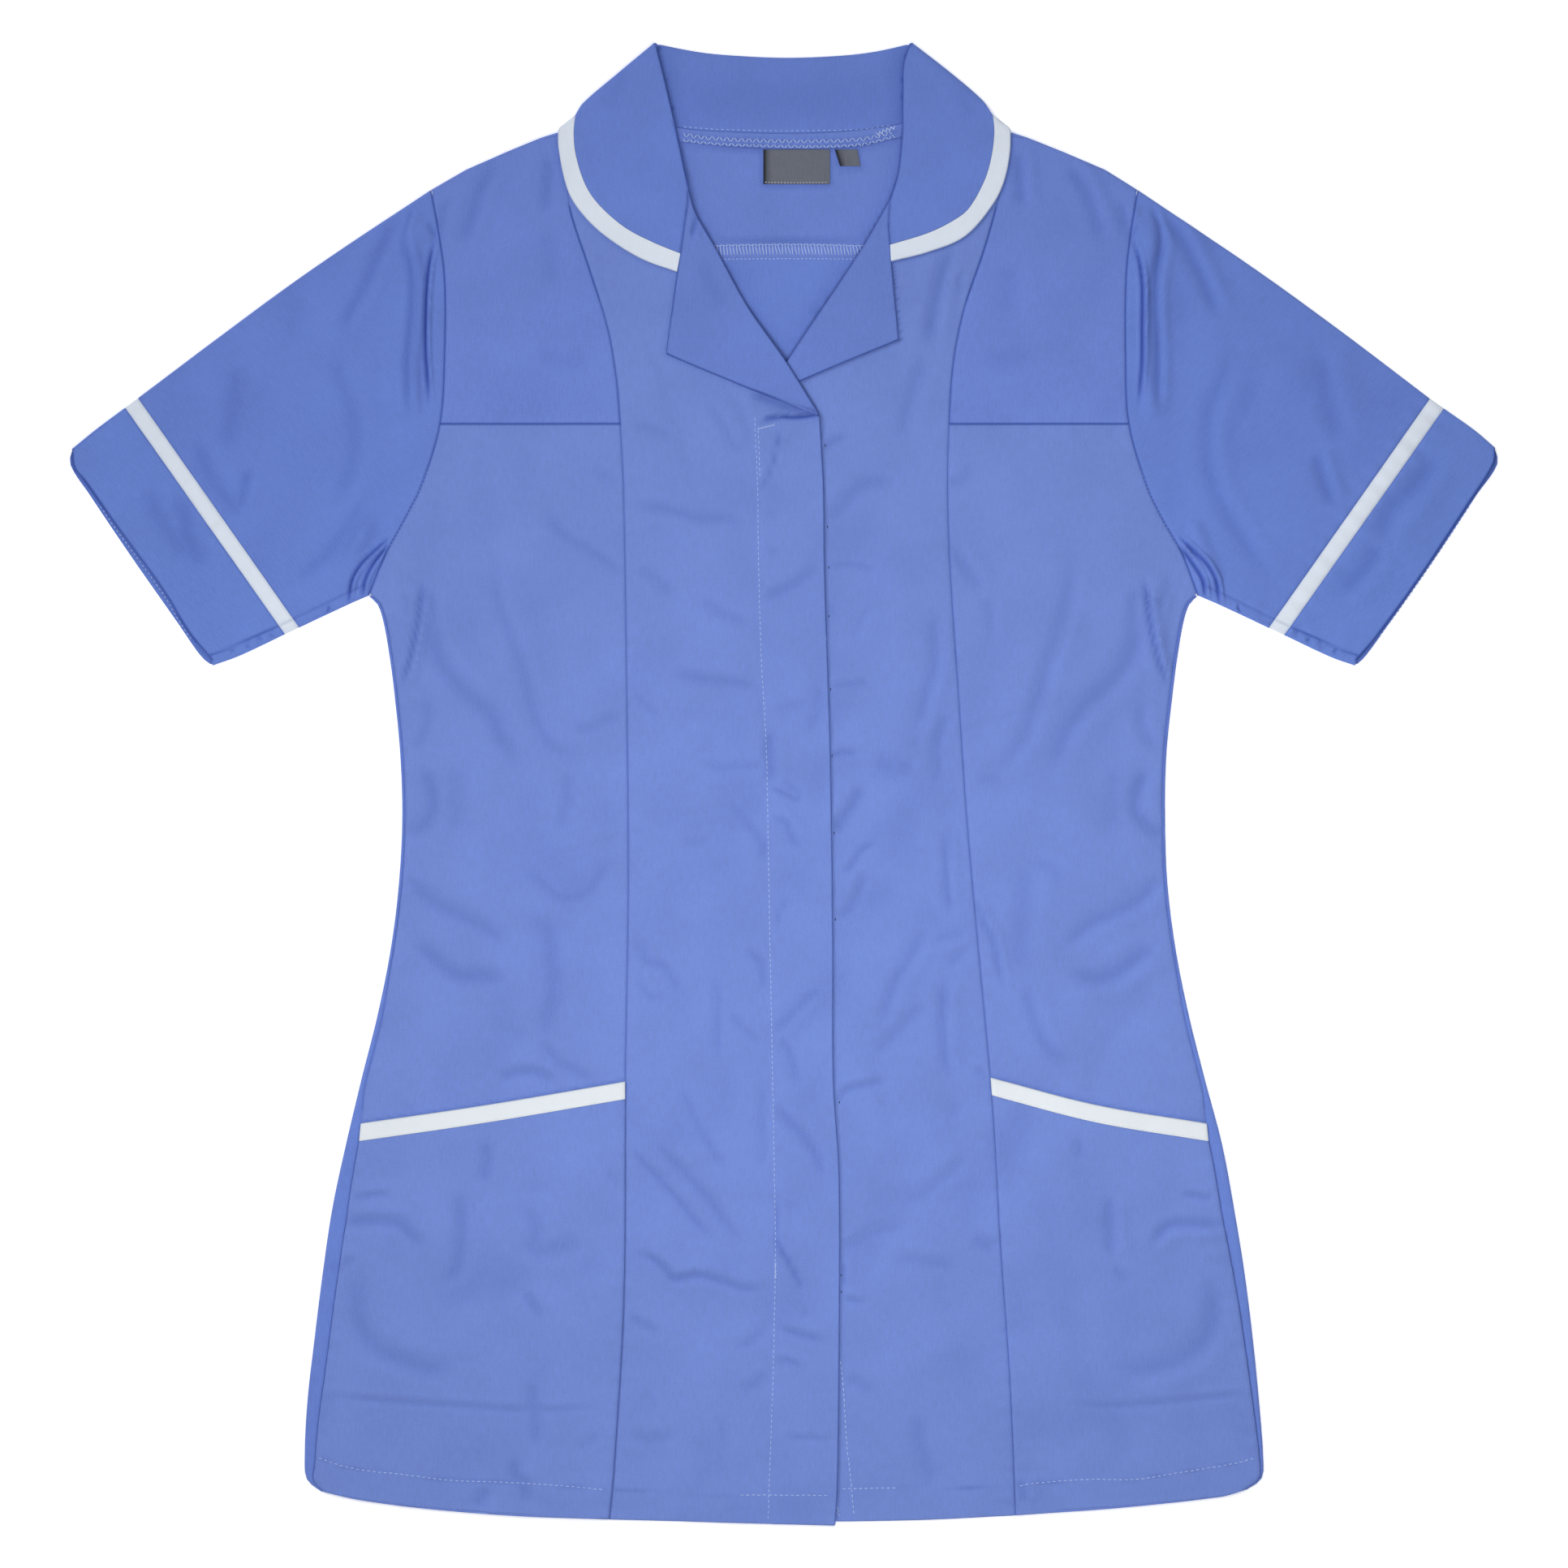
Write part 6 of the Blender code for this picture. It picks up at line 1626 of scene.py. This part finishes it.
# %% Collar and its edging
EDGING_SHARES = np.array((0.0, 0.06, 0.15, 0.4, 0.7, 0.93, 1.0))     # rows across the edging
left, right = collar_half("l"), collar_half("r")
rows = np.array(left[::-1] + right[1:]).swapaxes(0, 1)
outside = np.vstack([edging_half("l")[::-1], edging_half("r")[1:]])
inside = pulled(rows[-1], outside, SEAM)
rows[-1] = pulled(rows[-1], rows[-2], SEAM / 2)
sewn("collar", [rows], "collar")
band = inside + (outside - inside) * EDGING_SHARES[:, None, None]
sewn("collar_band", turned_edge(band, "foot"), "shaded_white")

# %% [markdown]
# ## Inside the back neck
#
# The neck seam is turned down and stitched. Two small woven labels are caught under it. They are
# bare, with only their stitched lower edge.

# %% Neck turning and labels
TURNING_LAYER, LABEL_LAYER, LABEL_WALL = 0.55, 0.42, 0.45


def slab(node, upper, lower, down, finish, slot, layer, wall=WALL):
    """A small flat piece on the back, between two rows of points."""
    left, right = across(upper[0], lower[0], down), across(upper[-1], lower[-1], down)
    rows = fill(upper, lower, left, right)
    sewn(node, [lifted(rows, back_height, layer)], finish, wall=wall)


neck_rows = []
for marks in (BACK_NECK_SEAM, NECK_TURNING_FOOT):
    run = Line(marks)
    neck_rows.append(spread(run, 60, *(run.share(x, axis=0) for x in NECK_TURNING_ENDS)))
slab("neck_seam", *neck_rows, 6, "shoulder", "cloth_blue", TURNING_LAYER)
for node, label in (("label_main", MAIN_LABEL), ("label_size", SIZE_LABEL)):
    a, b, c, d = label
    share = stations(math.dist(a, b))
    slab(node, straight(a, b).at(share), straight(d, c).at(share), 10, "grey", "label_grey",
         LABEL_LAYER, LABEL_WALL)

# %% [markdown]
# ## Sleeves
#
# A laid sleeve is a flattened tube, so each of its three pieces is a ring of points: the front,
# the fold along the underarm, the back and the fold along the top of the arm.


# %% Tubes
FOLD_COLUMNS = 3             # columns beside each fold that its round takes the place of
UNDERSIDE_STEP = 3           # the hidden underside has every third column


def sleeve_fold(points, inner):
    """Points round the fold at one end of a flattened sleeve, from its underside to its top."""
    side = inner - points
    side /= np.hypot(side[:, 0], side[:, 1])[:, None]
    bottom, top = table_height(points), front_height(points)
    radius = 0.5 * (top - bottom)
    return [solid(points + side * (HALF_WALL + radius * (1.0 - math.cos(angle)))[:, None],
                  bottom + radius * (1.0 + math.sin(angle))) for angle in TURNS]


def tube(node, front, back, finish, slot, grain):
    """A flattened sleeve: front and back rows of points joined by folds at their two ends."""
    over = sleeve_fold(front[:, 0], front[:, 1])
    under = sleeve_fold(front[:, -1], front[:, -2])
    middle = slice(FOLD_COLUMNS, -FOLD_COLUMNS)
    top = lifted(front[:, middle], front_height).swapaxes(0, 1)
    bottom = lifted(back[:, middle][:, ::UNDERSIDE_STEP], table_height).swapaxes(0, 1)
    rings = np.array([*over, *top, *under[::-1], *bottom[::-1]]).swapaxes(0, 1)
    sewn(node, [rings], finish, closed=True, grain=grain)


ARM_ANGLE = {"l": math.radians(35.0), "r": math.radians(-35.0)}
SLEEVE_WIDTH, SLEEVE_LENGTH, CUFF_LENGTH = 220.0, 150.0, 40.0        # for the points' spacing
SLEEVE_HEAD = ((0.0, 0.10, 0.9),)      # closer rows beside the armhole
BAND_SHARES = np.array((0.0, 0.07, 0.2, 0.5, 0.8, 0.93, 1.0))        # rows across a band
for hand in HANDS:
    shape = lines[hand]
    u, v = stations(SLEEVE_WIDTH), stations(SLEEVE_LENGTH, fine=SLEEVE_HEAD)
    hole, head, foot = shape["armhole"].at(u), shape["band_top"].at(u), shape["band_foot"].at(u)
    over, under = shape["overarm"].at(v), shape["underarm"].at(v)
    rows = trimmed(fill(hole, head, over, under, u, v), foot=SEAM / 2)
    tube("sleeve_" + hand, rows, rows, "sleeve", "cloth_blue", ARM_ANGLE[hand])
    v = BAND_SHARES[:, None, None]
    band = trimmed(head * (1 - v) + foot * v, top=SEAM / 2, foot=SEAM / 2)
    tube("sleeve_band_" + hand, band, band, "shaded_white", "edging_white", ARM_ANGLE[hand])
    v = stations(CUFF_LENGTH)
    over, under = shape["cuff_over"].at(v), shape["cuff_under"].at(v)
    sides = []
    for name in ("cuff_front", "cuff_back"):
        edge = shape[name].at(u)
        edge[0], edge[-1] = over[-1], under[-1]
        sides.append(trimmed(fill(foot, edge, over, under, u, v), top=SEAM / 2))
    tube("cuff_" + hand, *sides, "cuff", "cloth_blue", ARM_ANGLE[hand])

# %% [markdown]
# ## Pockets
#
# Each pocket is a panel that lies on the side front, from its slanted opening down to the hem.
# A white tape binds the opening.

# %% Pockets
POCKET_BAND = 9.2
POCKET_WIDTH = 145.0
POCKET_HEM_GAP = 0.2
for hand in HANDS:
    shape = lines[hand]
    seams = (shape["side_seam"], shape["panel_seam"])
    opening = shape["pocket_top"].dots.copy()
    band_foot = opening + np.array((0.0, -POCKET_BAND))
    for line in (opening, band_foot):
        for end, seam in zip((0, -1), seams):
            line[end, 0] = seam.at([seam.share(line[end, 1])])[0, 0]
    u, v = stations(POCKET_WIDTH), BAND_SHARES[:, None, None]
    opening, band_foot = straight(opening), straight(band_foot)
    band = trimmed(opening.at(u) * (1 - v) + band_foot.at(u) * v, left=SEAM, right=SEAM,
                   foot=SEAM / 2)
    sewn("pocket_band_" + hand, turned_edge(lifted(band, front_height, 1), "top"), "white")
    sides = [straight(end, seam.part(seam.share(end[1] - 1.0), 1.0))
             for seam, end in zip(seams, (band_foot.dots[0], band_foot.dots[-1]))]
    foot = Line([sides[0].dots[-1], *SHAPE[hand]["hem"][1:-1], sides[1].dots[-1]])
    rows = trimmed(panel(band_foot, foot, *sides), left=SEAM, right=SEAM, top=SEAM / 2,
                   foot=POCKET_HEM_GAP)
    sewn("pocket_" + hand, turned_edge(lifted(rows, front_height, 1), "foot"), "body")

# %% [markdown]
# ## Sewing thread
#
# Stitches are what tells sewn cloth from moulded plastic. Each one is a short fat bar of thread
# whose ends dive into the cloth. One stitch is modelled from a ball and then copied
# along every sewn line, lying on the cloth at that place.


# %% One stitch
STITCH_BEND = 1.2            # how far its ends dive into the cloth


def stitch_shape():
    """The points and faces of one stitch, 1 mm long, with its ends bent down into the cloth."""
    bpy.ops.object.select_all(action="DESELECT")
    bpy.ops.mesh.primitive_uv_sphere_add(segments=6, ring_count=5, radius=0.5)
    seed = bpy.context.object
    bpy.ops.object.mode_set(mode="EDIT")
    bpy.ops.mesh.select_all(action="SELECT")
    bpy.ops.transform.rotate(value=math.pi / 2, orient_axis="Y", center_override=(0.0, 0.0, 0.0))
    bpy.ops.object.mode_set(mode="OBJECT")
    points = np.array([vertex.co[:] for vertex in seed.data.vertices])
    faces = [tuple(face.vertices) for face in seed.data.polygons]
    bpy.data.objects.remove(seed, do_unlink=True)
    points[:, 2] -= STITCH_BEND * points[:, 0] ** 2
    return points, faces


STITCH_POINTS, STITCH_FACES = stitch_shape()
print("one stitch:", len(STITCH_POINTS), "points,", len(STITCH_FACES), "faces")


# %% Rows of stitches
WANDER = 0.12                # millimetres that the ends of a stitch stray from their row
SLANT = 0.5                  # millimetres that an overlock's thread leans each way
LEANS = (0.3, 1.7)           # and the shares of that which one thread may have
THREAD_RISE = 0.22           # the thread lies this share of its thickness above the cloth


def ends_along(line, pitch, length, sway=0.0):
    """The two ends of every stitch along a Line: evenly spaced, or swaying to and fro."""
    count = max(int(line.long / pitch), 1)
    middle = (np.arange(count) + 0.5) * pitch / line.long
    half = 0.5 * length / line.long
    first, last = line.at(middle - half), line.at(middle + half)
    step = (last - first) / np.linalg.norm(last - first, axis=1, keepdims=True)
    square = np.stack([-step[:, 1], step[:, 0]], -1)
    wobble = WOBBLE.uniform(-WANDER, WANDER, (2, count, 1))
    swing = sway * np.where(np.arange(count) % 2, 1.0, -1.0)[:, None]
    return first + square * (wobble[0] - swing), last + square * (wobble[1] + swing)


def ends_across(top, foot, pitch):
    """The two ends of threads that run across between two Lines, as an overlock does."""
    count = int(top.long / pitch)
    share = (np.arange(count) + 0.5) / count
    lean = SLANT / top.long * WOBBLE.uniform(*LEANS, count)
    return top.at(share - lean), foot.at(share + lean)


WOBBLE = np.random.default_rng(5)
sewing = {}


def stitches(name, node, rows, height, layers=0, finish="thread", thick=0.52):
    """A piece of thread: all the stitches of some rows, lying on a layer of the cloth."""
    starts = np.vstack([row[0] for row in rows])
    stops = np.vstack([row[1] for row in rows])
    top = np.array((0.0, 0.0, 0.5 * WALL + THREAD_RISE * thick))
    start, stop = lifted(starts, height, layers) + top, lifted(stops, height, layers) + top
    run = stop - start
    length = np.linalg.norm(run, axis=1, keepdims=True)
    along = run / length
    side = np.cross(np.array((0.0, 0.0, 1.0)), along)
    side /= np.linalg.norm(side, axis=1, keepdims=True)
    up = np.cross(along, side)
    x, y, z = STITCH_POINTS.T[:, :, None]
    points = (0.5 * (start + stop)[:, None] + along[:, None] * (x * length[:, None])
              + side[:, None] * (y * thick) + up[:, None] * (z * thick))
    count = len(STITCH_POINTS)
    faces = [tuple(corner + count * number for corner in face)
             for number in range(len(start)) for face in STITCH_FACES]
    flat = points.reshape(-1, 3)
    flat[:, :2] += TO_MIDDLE
    mesh = bpy.data.meshes.new(name)
    mesh.from_pydata((flat * MM).tolist(), [], faces)
    loops = np.empty(len(mesh.loops), dtype=int)
    mesh.loops.foreach_get("vertex_index", loops)
    mesh.uv_layers.new(name="grain").data.foreach_set("uv", (flat[loops, :2] * MM).ravel())
    piece = placed(name, mesh)
    finished(piece, finish)
    sewing.setdefault(node, []).append(piece)
    print(name, len(start), "stitches")


# %% Hems, fly and facing
LOCKSTITCH = (2.9, 2.0)      # pitch and length
BAR_TACK = (0.8, 1.6, 0.5)   # the same, and how far it sways
SEEN_HEM = {                 # from and to, where the thread isn't sunk in the cloth
    "front_l": (-24.0, 26.0),
    "front_r": (31.0, 62.0),
}
for node, marks in HEM_SEWN.items():
    height = left_front_height if node == "front_l" else front_height
    layers = 1 if node.startswith("side") else 0
    carrier = node.replace("side_front", "pocket")
    line = Line(marks)
    start, end = (line.share(x, axis=0) for x in SEEN_HEM.get(node, (marks[0][0], marks[-1][0])))
    row = ends_along(straight(line.part(start, end)), 3.0, 2.0)
    stitches("hem_stitches_" + node, carrier, [row], height, layers, thick=0.46)
fly_rows = [
    ends_along(FLY_LINE, *LOCKSTITCH),
    ends_along(Line(((-14.2, 192.0), (-4.6, 194.3))), *BAR_TACK),
    ends_along(Line(((-4.6, -258.9), (-4.6, -268.2))), *BAR_TACK),
    ends_along(Line(((-13.9, 192.0), (-13.4, 176.0), (-12.9, 164.0))), *LOCKSTITCH),
]
stitches("fly_stitches", "front_l", fly_rows, left_front_height, thick=0.38)
facing = Line(((30.5, -312.0), (31.9, -324.1), (34.1, -357.9), (36.7, -382.1), (38.1, -398.4)))
stitches("facing_stitches", "front_r", [ends_along(facing, *LOCKSTITCH)], front_height)

# %% Inside neck sewing
stand_row = Line(((-55.0, 356.0), (-37.6, 354.6), (2.0, 353.8), (41.6, 354.6), (60.0, 357.2)))
stitches("stand_stitches", "collar", [ends_along(stand_row, 2.9, 1.5)], back_height, thick=0.42)
neck_rows = [
    ends_along(Line(UPPER_ROW), 2.0, 1.7, sway=1.15),
    ends_along(Line(LOWER_ROW), 1.9, 1.6, sway=0.9),
    ends_along(Line(((50.0, 351.6), (56.0, 354.2), (60.8, 355.6))), 1.1, 1.6, sway=1.3),
]
stitches("neck_overlock", "neck_seam", neck_rows, back_height, TURNING_LAYER, thick=0.56)
band_top = Line(((-44.0, 291.6), (2.0, 292.4), (46.0, 291.6)))
band_foot = Line(((-44.0, 286.2), (2.0, 286.7), (46.0, 286.2)))
yoke_row = Line(((-44.0, 284.4), (2.0, 284.6), (46.0, 284.4)))
yoke_rows = [ends_across(band_top, band_foot, 1.75), ends_along(band_top, 1.75, 1.7, sway=0.4)]
stitches("yoke_overlock", "back_yoke", yoke_rows, back_height, thick=0.56)
stitches("yoke_stitches", "back_lower", [ends_along(yoke_row, 2.2, 1.4)], back_height, thick=0.50)
label_row = Line(((-10.6, 325.8), (7.0, 325.6), (24.3, 325.8)))
stitches("label_stitches", "label_main", [ends_along(label_row, 1.7, 1.1)], back_height,
         LABEL_LAYER, finish="grey_thread", thick=0.55)

# %% Armholes, cuffs, pocket edging and closing edge
ARMHOLE_ROW = (170.0, 128.0)           # levels between which its stitches show
CUFF_ROW, CUFF_INSET = (78.0, 152.0), 1.5
POCKET_ROW = (0.04, 0.96)
INSIDE_SLEEVE = (0.0, 140.0)
for hand in HANDS:
    shape = lines[hand]
    hole = shape["armhole"]
    low_part = straight(hole.part(*(hole.share(level) for level in ARMHOLE_ROW)))
    stitches("armhole_stitches_" + hand, "side_front_" + hand, [ends_along(low_part, 2.2, 1.3)],
             front_height, finish="body", thick=0.45)
    cuff = spread(shape["cuff_front"], 60)
    cuff = cuff - inward(cuff, INSIDE_SLEEVE) * CUFF_INSET
    cuff = straight(cuff[(cuff[:, 1] > CUFF_ROW[0]) & (cuff[:, 1] < CUFF_ROW[1])])
    stitches("cuff_stitches_" + hand, "cuff_" + hand, [ends_along(cuff, 2.6, 1.5)], table_height,
             thick=0.40)
    row = straight(shape["pocket_top"].part(*POCKET_ROW) + np.array((0.0, 1.0 - POCKET_BAND)))
    stitches("pocket_band_stitches_" + hand, "pocket_band_" + hand, [ends_along(row, 2.7, 1.9)],
             front_height, 1, finish="white", thick=0.40)
# Painted shade: short dark bars of thread along the closing edge stand in for the shade of its
# small puckers.
CLOSING_SHADE_MARKS = ((22.3, 183.3), (23.6, 139.3), (24.3, 117.3), (24.4, 90.9), (25.2, 51.3), (26.0, 15.2),
         (27.2, -26.6), (27.8, -73.3), (30.0, -172.3), (31.0, -266.0), (31.1, -275.0))
knots = np.array(CLOSING_SHADE_MARKS)
shade_mark_rows = [(knots + np.array((0.1, 0.8)), knots - np.array((0.1, 0.8)))]
stitches("closing_shade_marks", "front_r", shade_mark_rows, front_height, finish="shade_mark_thread", thick=0.55)
TAIL = np.array(((28.4, -391.4), (29.7, -393.1), (28.8, -394.9), (30.6, -396.7)))
stitches("thread_tail", "front_r", [(TAIL[:-1], TAIL[1:])], front_height, 0.3, thick=0.34)

# %% [markdown]
# ## What each sheet lies on

# %% What each sheet lies on
UNDER = {                    # what each sheet lies on
    "back_lower": "pale_table", "back_yoke": "pale_table", "collar": "back_yoke_cloth",
    "collar_band": "yoke_front_l_cloth", "label_main": "back_yoke_cloth",
    "label_size": "back_yoke_cloth", "neck_seam": "collar_cloth",
}
for hand in HANDS:
    UNDER["lapel_" + hand] = "front_%s_cloth" % hand
    UNDER["pocket_" + hand] = UNDER["pocket_band_" + hand] = "side_front_%s_cloth" % hand
